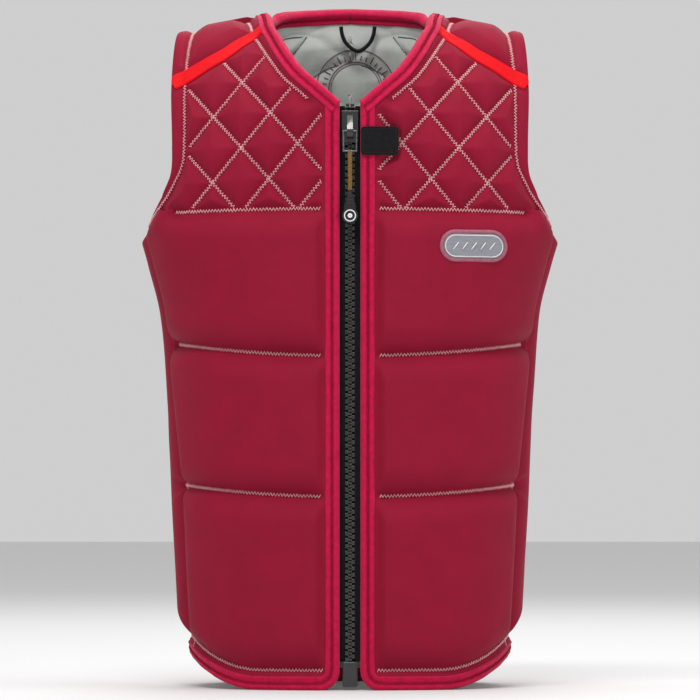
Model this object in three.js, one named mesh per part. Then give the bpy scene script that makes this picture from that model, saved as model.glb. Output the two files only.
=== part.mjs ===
// Front-zip water sports vest on its own shape: padded neoprene halves, back, shoulder yokes,
// bindings, coarse moulded zipper, slider with pull, keeper tab, badge and hang loop.
// Millimetres, +Z up, front faces -Y, +X is the wearer's left. Origin: bottom centre of the vest.
import * as THREE from "three";

// ---------------------------------------------------------------- driving dimensions
const CLEAR = 0.4;              // gap between touching pieces
const FRONT_DEPTH = 115;        // centre front skin to the side plane
const BACK_DEPTH = 119;         // centre back skin to the side plane
const ROUND = 2.4;              // superellipse exponent of the body section
const WIDTHS = [[0, 140], [60, 144], [160, 149.5], [260, 154.5], [330, 160],
  [375, 171], [410, 180], [470, 184], [620, 186]];   // half width of the body at heights
const SHOULDER_SPAN = 185;      // half width that shoulder heights are measured over
const HEM_RISE = 28;            // how far the hem lifts at the sides
const HEM_FLAT = 31;            // half angle of the level part of the hem, degrees
const SHELL = 2.5;              // outer neoprene
const LINER = 2;                // inner knit liner
const PAD = 19;                 // full thickness of a padded panel
const EDGE_OUT = 1;             // how far the outer skin dips at a panel's edge
const EDGE_IN = 9;              // depth of the liner's inner face at a panel's edge
const PINCH = 20;               // width of the tapered zone along an edge
const BIND_WIDTH = 9;           // bindings of neck and hem
const BIND_THICK = 9.6;
const ZIP_BIND_WIDTH = 10;      // bindings beside the zipper
const ZIP_BIND_IN = 8.5;        // zipper centre to a zipper binding
const LINES = [181, 300, 420];  // heights of the sewn lines across the body
const NECK_BASE = 511;          // height of the bottom of the V neck
const PITCH = 5.5;              // zipper chain pitch
const CHAIN_THICK = 3.6;
const CHAIN_HALF = 4;           // half width of the closed chain
const CHAIN_LOW = 25;
const TOOTH_REACH = 1.6;        // how far a tooth reaches past the middle
const STOP_HEIGHT = 3;          // top stops
const TAPE_THICK = 1;
const BOX_LOW = 3;
const BOX_HALF = 6.5;
const BOX_WALL = 2.2;           // retainer box outside the chain, front and back
const PIN = 3;
const SLIDER_LOW = 478;
const SLIDER_LENGTH = 28;
const SLIDER_WIDTH = 15;
const PLATE = 3;
const LINK_WIDTH = 13;
const LINK_LENGTH = 19;
const LINK_WIRE = 1.6;
const CORD = 3.8;
const CORD_LENGTH = 33;
const GRIP = [11, 29, 6];       // width, length, thickness
const MEDAL_RADIUS = 7;
const TAB = [33, 25, 2];        // keeper tab: width, height, thickness
const BADGE = [60, 28];         // badge: length, height
const BADGE_AT = [106, 388];    // badge centre, across and up
const TAPE_WIDTH = 12;          // red shoulder tape
const LOOP_CORD = 3.5;
const LOOP_ENDS = [-8, 22];
const LOOP_DROP = 22;

const zipEdge = ZIP_BIND_IN + ZIP_BIND_WIDTH + CLEAR;
const hemEdge = BIND_WIDTH + CLEAR;
const bindMiddle = (EDGE_OUT + EDGE_IN) / 2;
const chainY = -(FRONT_DEPTH - bindMiddle) + BIND_THICK / 2 + CLEAR + TAPE_THICK / 2;
const chainFront = chainY - CHAIN_THICK / 2;

// ---------------------------------------------------------------- looks
const looks = {
  neoprene: new THREE.MeshStandardMaterial({ color: 0x911b33, roughness: 0.85, metalness: 0 }),
  foam: new THREE.MeshStandardMaterial({ color: 0xd8d4c8, roughness: 0.95, metalness: 0 }),
  liner: new THREE.MeshStandardMaterial({ color: 0xbabdb8, roughness: 0.9, metalness: 0 }),
  binding: new THREE.MeshStandardMaterial({ color: 0xb00f3c, roughness: 0.8, metalness: 0 }),
  red_tape: new THREE.MeshStandardMaterial({ color: 0xe70013, roughness: 0.6, metalness: 0 }),
  zip_plastic: new THREE.MeshStandardMaterial({ color: 0x101012, roughness: 0.4, metalness: 0 }),
  zip_cloth: new THREE.MeshStandardMaterial({ color: 0x151417, roughness: 0.9, metalness: 0 }),
  cord: new THREE.MeshStandardMaterial({ color: 0x6b5a2c, roughness: 0.8, metalness: 0 }),
  rubber: new THREE.MeshStandardMaterial({ color: 0x2a2829, roughness: 0.6, metalness: 0 }),
  badge: new THREE.MeshStandardMaterial({ color: 0x8e9097, roughness: 0.5, metalness: 0.1 }),
};

const vest = new THREE.Group();

// ---------------------------------------------------------------- small helpers
const rad = THREE.MathUtils.degToRad;
const mix = THREE.MathUtils.lerp;

function smooth(value) {
  return THREE.MathUtils.smoothstep(value, 0, 1);
}

// Cubic curve through a few knots [x, y], as a function of x.
function through(knots, x) {
  let i = 0;
  while (i < knots.length - 2 && x > knots[i + 1][0]) i += 1;
  const slope = (k) => {
    const a = knots[Math.max(k - 1, 0)];
    const b = knots[Math.min(k + 1, knots.length - 1)];
    return (b[1] - a[1]) / (b[0] - a[0]);
  };
  const [x0, y0] = knots[i];
  const [x1, y1] = knots[i + 1];
  const h = x1 - x0;
  const t = THREE.MathUtils.clamp((x - x0) / h, 0, 1);
  const t2 = t * t;
  const t3 = t2 * t;
  return (2 * t3 - 3 * t2 + 1) * y0 + (t3 - 2 * t2 + t) * h * slope(i)
    + (3 * t2 - 2 * t3) * y1 + (t3 - t2) * h * slope(i + 1);
}

// A mesh's triangles are turned over when they face inwards, as on a mirrored piece.
function faceOut(geometry) {
  const flat = geometry.index ? geometry.toNonIndexed() : geometry;
  const p = flat.attributes.position;
  const at = (i) => new THREE.Vector3().fromBufferAttribute(p, i);
  let volume = 0;
  for (let i = 0; i < p.count; i += 3) {
    volume += at(i).dot(at(i + 1).cross(at(i + 2)));
  }
  if (volume < 0) {
    for (let i = 0; i < p.count; i += 3) {
      const b = at(i + 1);
      const c = at(i + 2);
      p.setXYZ(i + 1, c.x, c.y, c.z);
      p.setXYZ(i + 2, b.x, b.y, b.z);
    }
  }
  flat.computeVertexNormals();
  return flat;
}

function add(name, geometry, look) {
  const mesh = new THREE.Mesh(faceOut(geometry), looks[look]);
  mesh.name = name;
  vest.add(mesh);
}

function remap(geometry, place) {
  const p = geometry.attributes.position;
  for (let i = 0; i < p.count; i += 1) {
    const q = place(p.getX(i), p.getY(i), p.getZ(i));
    p.setXYZ(i, q.x, q.y, q.z);
  }
  return geometry;
}

// The corners of a regular polygon that stands for a circle.
function circle(cx, cy, radius, count) {
  return Array.from({ length: count }, (_, k) => new THREE.Vector2(
    cx + radius * Math.cos((2 * Math.PI * k) / count),
    cy + radius * Math.sin((2 * Math.PI * k) / count)));
}

function mirrored(point, side) {
  return new THREE.Vector3(point.x * side, point.y, point.z);
}

// ---------------------------------------------------------------- the body's outer skin
// across runs from 0 at centre front over 90 at the side to 180 at centre back, in degrees.
// up is a height that bends over the shoulder: it is z below the shoulder's round.
const halfWidth = (z) => through(WIDTHS, z);
const sideways = (across) => Math.abs(Math.sin(rad(across))) ** (2 / ROUND);
const acrossOf = (w) => THREE.MathUtils.radToDeg(Math.asin(w ** (ROUND / 2)));
const shoulderTop = (x) => 579 + 0.16 * (150 - x)
  + 0.45 * (72 - x + Math.hypot(72 - x, 12));
const shoulderStart = (x, back) => (back ? 373 : 530 - 0.85 * x);

function round(across) {
  const x = sideways(across) * SHOULDER_SPAN;
  const start = shoulderStart(x, across > 90);
  return { start, rise: shoulderTop(x) - start };
}

function skin(across, up) {
  const w = sideways(across);
  const { start, rise } = round(across);
  const lean = up < start ? 0 : (up - start) / rise;
  const z = up < start ? up : start + rise * Math.sin(lean);
  const depth = Math.max(1 - w ** ROUND, 0) ** (1 / ROUND) * Math.cos(lean);
  const y = across > 90 ? BACK_DEPTH * depth : -FRONT_DEPTH * depth;
  const sign = Math.sin(rad(across)) < 0 ? -1 : 1;
  return new THREE.Vector3(sign * w * halfWidth(z), y, z);
}

function skinNormal(across, up) {
  const e = 0.05;
  const sideStep = skin(across + e, up).sub(skin(across - e, up));
  const upStep = skin(across, up + e).sub(skin(across, up - e));
  return sideStep.cross(upStep).normalize();
}

// The chart point [across, up] of a skin point seen from the front or back at (x, z).
function chartOf(x, z, back = false) {
  const w = x / halfWidth(z);
  const angle = acrossOf(w);
  const across = back ? 180 - angle : angle;
  const { start, rise } = round(across);
  if (z < start) return [across, z];
  return [across, start + rise * Math.asin(Math.min((z - start) / rise, 1))];
}

// The chart point of a back skin point seen from above at (x, y).
function chartFromAbove(x, y) {
  const across = 180 - acrossOf(x / SHOULDER_SPAN);
  const w = sideways(across);
  const { start, rise } = round(across);
  const lean = Math.acos(Math.min(y / (BACK_DEPTH * (1 - w ** ROUND) ** (1 / ROUND)), 1));
  return [across, start + rise * lean];
}

const hemHeight = (across) => {
  const off = across > 90 ? 180 - across : across;
  return hemEdge + HEM_RISE * smooth((off - HEM_FLAT) / (90 - HEM_FLAT));
};

// ---------------------------------------------------------------- panels
// A panel is a grid of skin points between four edges, each a function of 0..1 that gives a
// chart point. Its outer and inner faces pinch together along the edges.
class Panel {
  constructor({ us, vs, low, high, left, right, point = skin, normal = skinNormal, side = 1,
    outer = EDGE_OUT, inner = EDGE_IN, full = PAD, fade = 1 }) {
    this.us = us;
    this.vs = vs;
    const ruled = (u, v, k) => mix(low(u)[k], high(u)[k], v);
    const chart = (u, v) => [0, 1].map((k) => ruled(u, v, k)
      + (1 - u) ** fade * (left(v)[k] - ruled(0, v, k))
      + u ** fade * (right(v)[k] - ruled(1, v, k)));
    const charts = vs.map((v) => us.map((u) => chart(u, v)));
    const skinPoints = charts.map((row) => row.map(([a, b]) => point(a, b)));
    const last = { u: us.length - 1, v: vs.length - 1 };
    this.nodes = charts.map((row, j) => row.map(([a, b], i) => {
      const p = skinPoints[j][i];
      const edgeDistance = Math.min(
        p.distanceTo(skinPoints[j][0]), p.distanceTo(skinPoints[j][last.u]),
        p.distanceTo(skinPoints[0][i]), p.distanceTo(skinPoints[last.v][i]));
      const puff = smooth(edgeDistance / PINCH);
      const n = normal(a, b);
      return {
        normal: mirrored(n, side),
        outer: mirrored(p.clone().addScaledVector(n, -mix(outer, 0, puff)), side),
        inner: mirrored(p.clone().addScaledVector(n, -mix(inner, full, puff)), side),
      };
    }));
  }

  // The point at (u, v) on a face, raised by t along the outward normal.
  at(face, u, v, t) {
    const cell = (lines, value) => {
      let k = 0;
      while (k < lines.length - 2 && value > lines[k + 1]) k += 1;
      return [k, (value - lines[k]) / (lines[k + 1] - lines[k])];
    };
    const [i, fu] = cell(this.us, u);
    const [j, fv] = cell(this.vs, v);
    const pick = (jj, ii) => {
      const node = this.nodes[jj][ii];
      return node[face].clone().addScaledVector(node.normal, t);
    };
    const low = pick(j, i).lerp(pick(j, i + 1), fu);
    const high = pick(j + 1, i).lerp(pick(j + 1, i + 1), fu);
    return low.lerp(high, fv);
  }

  // A layer between two heights, each [face, t], over lines us and vs.
  layer(top, bottom, us = this.us, vs = this.vs) {
    const cells = new THREE.BoxGeometry(1, 1, 1, us.length - 1, vs.length - 1, 1);
    return remap(cells, (x, y, z) => {
      const u = us[Math.round((x + 0.5) * (us.length - 1))];
      const v = vs[Math.round((y + 0.5) * (vs.length - 1))];
      const [face, t] = z > 0 ? top : bottom;
      return this.at(face, u, v, t);
    });
  }

  shell() {
    return this.layer(["outer", 0], ["outer", -SHELL]);
  }

  liner() {
    return this.layer(["inner", LINER], ["inner", 0]);
  }

  solid() {
    return this.layer(["outer", 0], ["inner", 0]);
  }

  foam(us, vs) {
    return this.layer(["outer", -SHELL - 2 * CLEAR], ["inner", LINER + 2 * CLEAR], us, vs);
  }

  // Stations along an edge: the middle of the edge, its normal and a point inside the panel.
  edge(name, from = 0, to = 1) {
    const along = name[0] === "u" ? this.vs : this.us;
    const here = name[1] === "0" ? 0 : 1;
    const inside = here === 0 ? 0.02 : 0.98;
    return along.filter((s) => s >= from - 1e-6 && s <= to + 1e-6).map((s) => {
      const [u, v] = name[0] === "u" ? [here, s] : [s, here];
      const [iu, iv] = name[0] === "u" ? [inside, s] : [s, inside];
      const outer = this.at("outer", u, v, 0);
      const inner = this.at("inner", u, v, 0);
      return {
        point: outer.clone().lerp(inner, 0.5),
        normal: outer.clone().sub(inner).normalize(),
        inside: this.at("outer", iu, iv, 0),
      };
    });
  }
}

// Lines from a to b with a narrow strip of the given share at each end.
function lines(count, strip = 0.1, a = 0, b = 1) {
  const list = [a, mix(a, b, strip)];
  for (let k = 1; k < count; k += 1) list.push(mix(a, b, strip + ((1 - 2 * strip) * k) / count));
  list.push(mix(a, b, 1 - strip), b);
  return list;
}

// The lines of a panel that lie inside from..to, with from and to as the ends.
function between(list, from, to) {
  return [from, ...list.filter((s) => s > from + 0.004 && s < to - 0.004), to];
}

// ---------------------------------------------------------------- bindings
// A bar of chamfered section that lies along an edge, just outside it.
function bar(stations, width = BIND_WIDTH, gap = CLEAR, thick = BIND_THICK) {
  const n = stations.length;
  const out = stations.map((s, k) => {
    const a = stations[Math.max(k - 1, 0)].point;
    const b = s.point;
    const c = stations[Math.min(k + 1, n - 1)].point;
    const away = (p, q) => {
      const d = q.clone().sub(p).cross(s.normal).normalize();
      return d.dot(s.inside.clone().sub(b)) > 0 ? d.negate() : d;
    };
    if (k === 0) return s.miter ?? away(b, c);
    if (k === n - 1) return s.miter ?? away(a, b);
    const one = away(a, b);
    const sum = one.clone().add(away(b, c)).normalize();
    return sum.divideScalar(Math.max(sum.dot(one), 0.6));
  });
  const cut = 2.4;
  const h = thick / 2;
  const outline = new THREE.Shape([
    [gap, -h], [gap + width - cut, -h], [gap + width, -h + cut],
    [gap + width, h - cut], [gap + width - cut, h], [gap, h],
  ].map(([x, y]) => new THREE.Vector2(x, y)));
  const body = new THREE.ExtrudeGeometry(outline, { depth: n - 1, steps: n - 1, bevelEnabled: false });
  return remap(body, (x, y, z) => {
    const k = Math.round(z);
    return stations[k].point.clone().addScaledVector(out[k], x)
      .addScaledVector(stations[k].normal, y);
  });
}

// Moves a station a little towards its neighbour, so that two bars clear each other.
function shorten(stations, first, last, amount = CLEAR / 2) {
  const list = stations.map((s) => ({ ...s, point: s.point.clone() }));
  const pull = (a, b) => a.point.add(b.point.clone().sub(a.point).setLength(amount));
  if (first) pull(list[0], list[1]);
  if (last) pull(list[list.length - 1], list[list.length - 2]);
  return list;
}

// The direction that halves the corner between two runs of an edge, away from the panel.
function miterOf(before, corner, after) {
  const away = (p, q) => {
    const d = q.clone().sub(p).cross(corner.normal).normalize();
    return d.dot(corner.inside.clone().sub(corner.point)) > 0 ? d.negate() : d;
  };
  const one = away(before.point, corner.point);
  const sum = one.clone().add(away(corner.point, after.point)).normalize();
  return sum.divideScalar(sum.dot(one));
}

// ---------------------------------------------------------------- outlines on the skin
const NECK = [[33, 523.5], [51.5, 540], [66, 561], [76.5, 579]];      // front neck edge, x and z
const ARMHOLE = [[166, 432], [158, 452], [156.5, 476], [157, 529]];   // front armhole edge
const SEAM_LOW = 75.7;          // side seam at the hem, degrees across
const SEAM_HIGH = 64;           // and at the armhole
const BACK_START = 92;          // where the back panel starts, degrees across
const BACK_NECK = [81, 79];     // half width and depth of the back neck edge, from above
const ARMPIT = 405;

// A curve through chart points that share 0..1 evenly by length of their polyline.
function track(points) {
  const curve = new THREE.CatmullRomCurve3(
    points.map(([a, b]) => new THREE.Vector3(a, b, 0)), false, "centripetal");
  return (t) => {
    const p = curve.getPointAt(THREE.MathUtils.clamp(t, 0, 1));
    return [p.x, p.y];
  };
}

function joined(first, second, share) {
  return (t) => (t <= share ? first(t / share) : second((t - share) / (1 - share)));
}

const straight = (a, b) => (t) => [mix(a[0], b[0], t), mix(a[1], b[1], t)];
const seamAcross = (z) => mix(SEAM_LOW, SEAM_HIGH, z / ARMHOLE[0][1]);

// Share of a front panel's height at which the straight zipper edge ends.
const NECK_SHARE = 0.8;
const neckCorner = chartOf(zipEdge, NECK_BASE);
const neckTrack = track([neckCorner, ...NECK.map(([x, z]) => chartOf(x, z))]);
const zipTrack = (t) => chartOf(zipEdge, mix(hemEdge, NECK_BASE, t));
const armTrack = track(ARMHOLE.map(([x, z]) => chartOf(x, z)));
const sideTrack = (t) => {
  const z = mix(hemHeight(SEAM_LOW), ARMHOLE[0][1], t);
  return [seamAcross(z), z];
};

const atHeight = (z) => (NECK_SHARE * (z - hemEdge)) / (NECK_BASE - hemEdge);
const SEWN = LINES.map(atHeight);
const HEM_STRIP = 0.035;
const frontUs = lines(5, 0.14);
const frontVs = [0, HEM_STRIP, mix(HEM_STRIP, SEWN[0], 0.5), SEWN[0], mix(SEWN[0], SEWN[1], 0.5),
  SEWN[1], mix(SEWN[1], SEWN[2], 0.5), SEWN[2], mix(SEWN[2], NECK_SHARE, 0.5), NECK_SHARE,
  0.85, 0.9, 0.95, 1];

function frontPanel(side) {
  const highLeft = neckTrack(1);
  const highRight = armTrack(1);
  const lowLeft = zipTrack(0);
  return new Panel({
    us: frontUs,
    vs: frontVs,
    side,
    low: (u) => {
      const across = mix(lowLeft[0], SEAM_LOW, u);
      return [across, hemHeight(across)];
    },
    high: straight(highLeft, highRight),
    left: joined(zipTrack, neckTrack, NECK_SHARE),
    right: joined(sideTrack, armTrack, SEWN[2]),
  });
}

// The soft side gusset between a front half and the back, under the armhole.
function gussetPanel(side) {
  const top = (t) => {
    const across = mix(SEAM_HIGH + 0.6, BACK_START - 0.3, t);
    return [across, mix(ARMHOLE[0][1] - 2, ARMPIT, smooth(t * 1.3))];
  };
  const low = (t) => {
    const across = mix(SEAM_LOW + 0.6, BACK_START - 0.3, t);
    return [across, hemHeight(across)];
  };
  return new Panel({
    us: lines(2, 0.2),
    vs: lines(6, 0.06),
    side,
    low,
    high: top,
    left: (t) => straight(low(0), top(0))(t),
    right: (t) => straight(low(1), top(1))(t),
    full: EDGE_IN,
    outer: 0.5,
  });
}

// The shoulder yoke between a front half's top edge and the top of the shoulder.
function yokePanel(side) {
  const trim = 2 * CLEAR;
  const frontNeck = neckTrack(1);
  const frontArm = armTrack(1);
  const top = (across) => {
    const { start, rise } = round(across);
    return start + (rise * Math.PI) / 2 - trim;
  };
  const topNeck = acrossOf(BACK_NECK[0] / SHOULDER_SPAN);
  const topArm = acrossOf(150 / halfWidth(578));
  return new Panel({
    us: lines(4, 0.14),
    vs: [0, 0.35, 0.65, 1],
    side,
    low: (t) => {
      const [a, b] = straight(frontNeck, frontArm)(t);
      return [a, b + 2];
    },
    high: (t) => {
      const across = mix(topNeck, topArm, t);
      return [across, top(across)];
    },
    left: (t) => straight([frontNeck[0], frontNeck[1] + 2], [topNeck, top(topNeck)])(t),
    right: (t) => straight([frontArm[0], frontArm[1] + 2], [topArm, top(topArm)])(t),
    full: EDGE_IN,
    outer: EDGE_OUT,
  });
}

// Share of half the back's top edge that is shoulder; the rest is neck.
const SHOULDER_SHARE = 0.42;
const BACK_UP = [0, 0.035, 0.15, 0.285, 0.39, 0.49, 0.59, 0.7, 0.8, 0.88, 0.95, 1];

function backEdges() {
  const topY = 2 * CLEAR;
  const shoulderArm = chartFromAbove(150, topY);
  const shoulderNeck = chartFromAbove(BACK_NECK[0], topY);
  const neckFrom = Math.asin(topY / BACK_NECK[1]);
  const neckPoint = (t) => {
    const turn = mix(neckFrom, Math.PI / 2, t);
    return chartFromAbove(BACK_NECK[0] * Math.cos(turn), BACK_NECK[1] * Math.sin(turn));
  };
  const armBack = track([chartOf(166, 432, true), chartOf(158, 452, true),
    chartOf(156.5, 476, true), chartOf(157, 529, true), shoulderArm]);
  const under = (t) => [mix(BACK_START, chartOf(166, 432, true)[0], t), mix(ARMPIT, 432, smooth(t))];
  return { shoulderArm, shoulderNeck, neckPoint, armBack, under };
}

// The back panel spans both sides; u runs from the wearer's left side to the right.
function backPanel() {
  const { shoulderArm, shoulderNeck, neckPoint, armBack, under } = backEdges();
  const fold = (u) => (u <= 0.5 ? u * 2 : (1 - u) * 2);
  const twin = (chart, u) => (u <= 0.5 ? chart : [360 - chart[0], chart[1]]);
  const low = (u) => {
    const across = mix(BACK_START, 360 - BACK_START, u);
    return [across, hemHeight(across > 180 ? 360 - across : across)];
  };
  const topHalf = (t) => (t <= SHOULDER_SHARE
    ? straight(shoulderArm, shoulderNeck)(t / SHOULDER_SHARE)
    : neckPoint((t - SHOULDER_SHARE) / (1 - SHOULDER_SHARE)));
  const underShare = 0.09;
  const sideShare = 0.62;
  const side = (t) => {
    if (t <= sideShare) return [BACK_START, mix(hemHeight(BACK_START), ARMPIT, t / sideShare)];
    if (t <= sideShare + underShare) return under((t - sideShare) / underShare);
    return armBack((t - sideShare - underShare) / (1 - sideShare - underShare));
  };
  const corner = SHOULDER_SHARE / 2;
  const half = [0, 0.035, corner / 2, corner];
  for (let k = 1; k < 6; k += 1) half.push(mix(corner, 0.5, k / 6));
  const us = [...half, 0.5, ...half.map((u) => 1 - u).reverse()];
  return new Panel({
    us,
    vs: BACK_UP,
    low,
    high: (u) => twin(topHalf(fold(u)), u),
    left: (v) => side(v),
    right: (v) => twin(side(v), 1),
    fade: 3,
  });
}

// ---------------------------------------------------------------- padded halves
const SIDES = [["left", 1], ["right", -1]];
const FOAMS = ["hip", "waist", "chest", "yoke"];
const panels = {};

function buildFront(word, side) {
  const panel = frontPanel(side);
  panels[word] = panel;
  add(`front_shell_${word}`, panel.shell(), "neoprene");
  add(`front_liner_${word}`, panel.liner(), "liner");
  const inset = [0.15, 0.8];
  const rows = [HEM_STRIP + 0.006, ...SEWN, 0.945];
  FOAMS.forEach((place, k) => {
    const vs = between(frontVs, rows[k] + 0.006, rows[k + 1] - 0.006);
    add(`front_foam_${place}_${word}`, panel.foam(between(frontUs, ...inset), vs), "foam");
  });
}

function buildFrontBindings(word) {
  const panel = panels[word];
  const edge = panel.edge("u0");
  const corner = frontVs.indexOf(NECK_SHARE);
  const miter = miterOf(edge[corner - 1], edge[corner], edge[corner + 1]);
  const zip = edge.slice(0, corner + 1).map((s) => ({ ...s }));
  zip[corner].miter = miter;
  zip[0] = { ...zip[0], point: new THREE.Vector3(zip[0].point.x, zip[0].point.y, 0) };
  add(`zip_binding_${word}`, bar(shorten(zip, false, true), ZIP_BIND_WIDTH), "binding");
  const neck = edge.slice(corner).map((s) => ({ ...s }));
  neck[0].miter = miter;
  add(`neck_binding_front_${word}`, bar(shorten(neck, true, true)), "binding");
  add(`hem_binding_front_${word}`, bar(shorten(panel.edge("v0"), false, true)), "binding");
}

// The red tape lies on the shell along the top edge of a front half.
function buildShoulderTape(word) {
  const panel = panels[word];
  const top = panel.nodes[frontVs.length - 1];
  const below = panel.nodes[frontVs.length - 2];
  const step = top[4].outer.distanceTo(below[4].outer);
  const low = 1 - ((1 - frontVs[frontVs.length - 2]) * TAPE_WIDTH) / step;
  const high = 1 - 0.002;
  const tape = panel.layer(["outer", 2 * CLEAR + 1.4], ["outer", 2 * CLEAR],
    between(frontUs, 0.012, 0.988), between(frontVs, Math.max(low, 0.9), high));
  add(`shoulder_tape_${word}`, tape, "red_tape");
}

// ---------------------------------------------------------------- back, gussets and yokes
function buildBack() {
  const back = backPanel();
  panels.back = back;
  add("back_shell", back.shell(), "neoprene");
  add("back_liner", back.liner(), "liner");
  const rows = { hip: [0.041, 0.28], waist: [0.29, 0.485], chest: [0.495, 0.695], upper: [0.705, 0.82] };
  const inset = { hip: 0.11, waist: 0.11, chest: 0.25, upper: 0.39 };
  for (const [place, [from, to]] of Object.entries(rows)) {
    const us = between(back.us, inset[place], 1 - inset[place]);
    add(`back_foam_${place}`, back.foam(us, between(back.vs, from, to)), "foam");
  }
}

function buildSoftLinks(word, side) {
  panels[`gusset_${word}`] = gussetPanel(side);
  panels[`yoke_${word}`] = yokePanel(side);
  add(`side_gusset_${word}`, panels[`gusset_${word}`].solid(), "neoprene");
  add(`shoulder_yoke_${word}`, panels[`yoke_${word}`].solid(), "neoprene");
}

function buildBackBindings() {
  const corner = SHOULDER_SHARE / 2;
  const neckRun = panels.back.edge("v1", corner, 1 - corner);
  const leftYoke = panels.yoke_left.edge("u0");
  const rightYoke = panels.yoke_right.edge("u0");
  const neck = [...leftYoke, ...neckRun.slice(1, -1), ...rightYoke.reverse()];
  add("neck_binding_back", bar(shorten(neck, true, true), BIND_WIDTH, 2 * CLEAR), "binding");
  const leftHem = panels.gusset_left.edge("v0");
  const rightHem = panels.gusset_right.edge("v0");
  const hem = [...leftHem, ...panels.back.edge("v0").slice(1, -1), ...rightHem.reverse()];
  add("hem_binding_back", bar(shorten(hem, true, true)), "binding");
}

// ---------------------------------------------------------------- zipper
const chainTop = NECK_BASE - 2;

// One half of the chain: a spine with teeth that reach past the middle.
function buildChain(word, side) {
  const spine = CHAIN_HALF;
  const root = spine - TOOTH_REACH;
  const tooth = PITCH / 2 - CLEAR;
  const outline = [[spine, CHAIN_LOW]];
  outline.push([spine, chainTop]);
  outline.push([root, chainTop]);
  const first = CHAIN_LOW + (side > 0 ? PITCH / 2 : 0) + CLEAR;
  const count = Math.floor((chainTop - first - tooth) / PITCH);
  for (let k = count; k >= 0; k -= 1) {
    const z = first + k * PITCH;
    outline.push([root, z + tooth]);
    outline.push([-TOOTH_REACH, z + tooth]);
    outline.push([-TOOTH_REACH, z]);
    outline.push([root, z]);
  }
  outline.push([root, CHAIN_LOW]);
  const shape = new THREE.Shape(outline.map(([x, z]) => new THREE.Vector2(x * side, z)));
  const chain = new THREE.ExtrudeGeometry(shape, { depth: CHAIN_THICK, bevelEnabled: false });
  chain.rotateX(Math.PI / 2);
  chain.translate(0, chainFront + CHAIN_THICK, 0);
  add(`zip_chain_${word}`, chain, "zip_plastic");
}

function block(x0, x1, y0, y1, z0, z1) {
  const g = new THREE.BoxGeometry(x1 - x0, y1 - y0, z1 - z0);
  g.translate((x0 + x1) / 2, (y0 + y1) / 2, (z0 + z1) / 2);
  return g;
}

function sideBlock(side, x0, x1, y0, y1, z0, z1) {
  return side > 0 ? block(x0, x1, y0, y1, z0, z1) : block(-x1, -x0, y0, y1, z0, z1);
}

function buildTape(word, side) {
  const back = chainY + TAPE_THICK / 2;
  add(`zip_tape_${word}`, sideBlock(side, CHAIN_HALF + CLEAR, ZIP_BIND_IN + ZIP_BIND_WIDTH - 1,
    back - TAPE_THICK, back, CHAIN_LOW, NECK_BASE - 1), "zip_cloth");
}

// The retainer box is open on the wearer's left, where the pin of that half slides in.
function buildRetainer() {
  const y0 = chainFront - BOX_WALL;
  const y1 = chainY + CHAIN_THICK / 2 + BOX_WALL;
  const slot = PIN / 2 + CLEAR;
  const outline = new THREE.Shape([[-BOX_HALF, y0], [BOX_HALF, y0], [BOX_HALF, chainY - slot],
    [1 - CLEAR, chainY - slot], [1 - CLEAR, chainY + slot], [BOX_HALF, chainY + slot],
    [BOX_HALF, y1], [-BOX_HALF, y1]].map(([x, y]) => new THREE.Vector2(x, y)));
  const depth = CHAIN_LOW - CLEAR - BOX_LOW;
  const box = new THREE.ExtrudeGeometry(outline, { depth, bevelEnabled: false });
  box.translate(0, 0, BOX_LOW);
  add("zip_retainer_box", box, "zip_plastic");
  add("zip_insertion_pin", block(1, 1 + PIN + 1, chainY - PIN / 2, chainY + PIN / 2,
    BOX_LOW + 1, CHAIN_LOW - CLEAR), "zip_plastic");
}

function buildStops(word, side) {
  add(`zip_top_stop_${word}`, sideBlock(side, 0.4, CHAIN_HALF - CLEAR, chainFront,
    chainFront + CHAIN_THICK, chainTop + CLEAR,
    chainTop + CLEAR + STOP_HEIGHT), "zip_plastic");
}

const sliderFace = chainFront - CLEAR;
const crownEye = { y: sliderFace - PLATE - 4.2, z: SLIDER_LOW + 10 };

// A plate with its corners rounded, seen from the front, between two depths.
function roundPlate(width, height, corner, y0, y1, cx, cz) {
  const w = width / 2;
  const h = height / 2;
  const s = new THREE.Shape();
  s.moveTo(-w + corner, -h);
  s.lineTo(w - corner, -h);
  s.absarc(w - corner, -h + corner, corner, -Math.PI / 2, 0, false);
  s.absarc(w - corner, h - corner, corner, 0, Math.PI / 2, false);
  s.absarc(-w + corner, h - corner, corner, Math.PI / 2, Math.PI, false);
  s.absarc(-w + corner, -h + corner, corner, Math.PI, 1.5 * Math.PI, false);
  const g = new THREE.ExtrudeGeometry(s, { depth: y1 - y0, bevelEnabled: false, curveSegments: 4 });
  g.rotateX(Math.PI / 2);
  g.translate(cx, y1, cz);
  return g;
}

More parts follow.
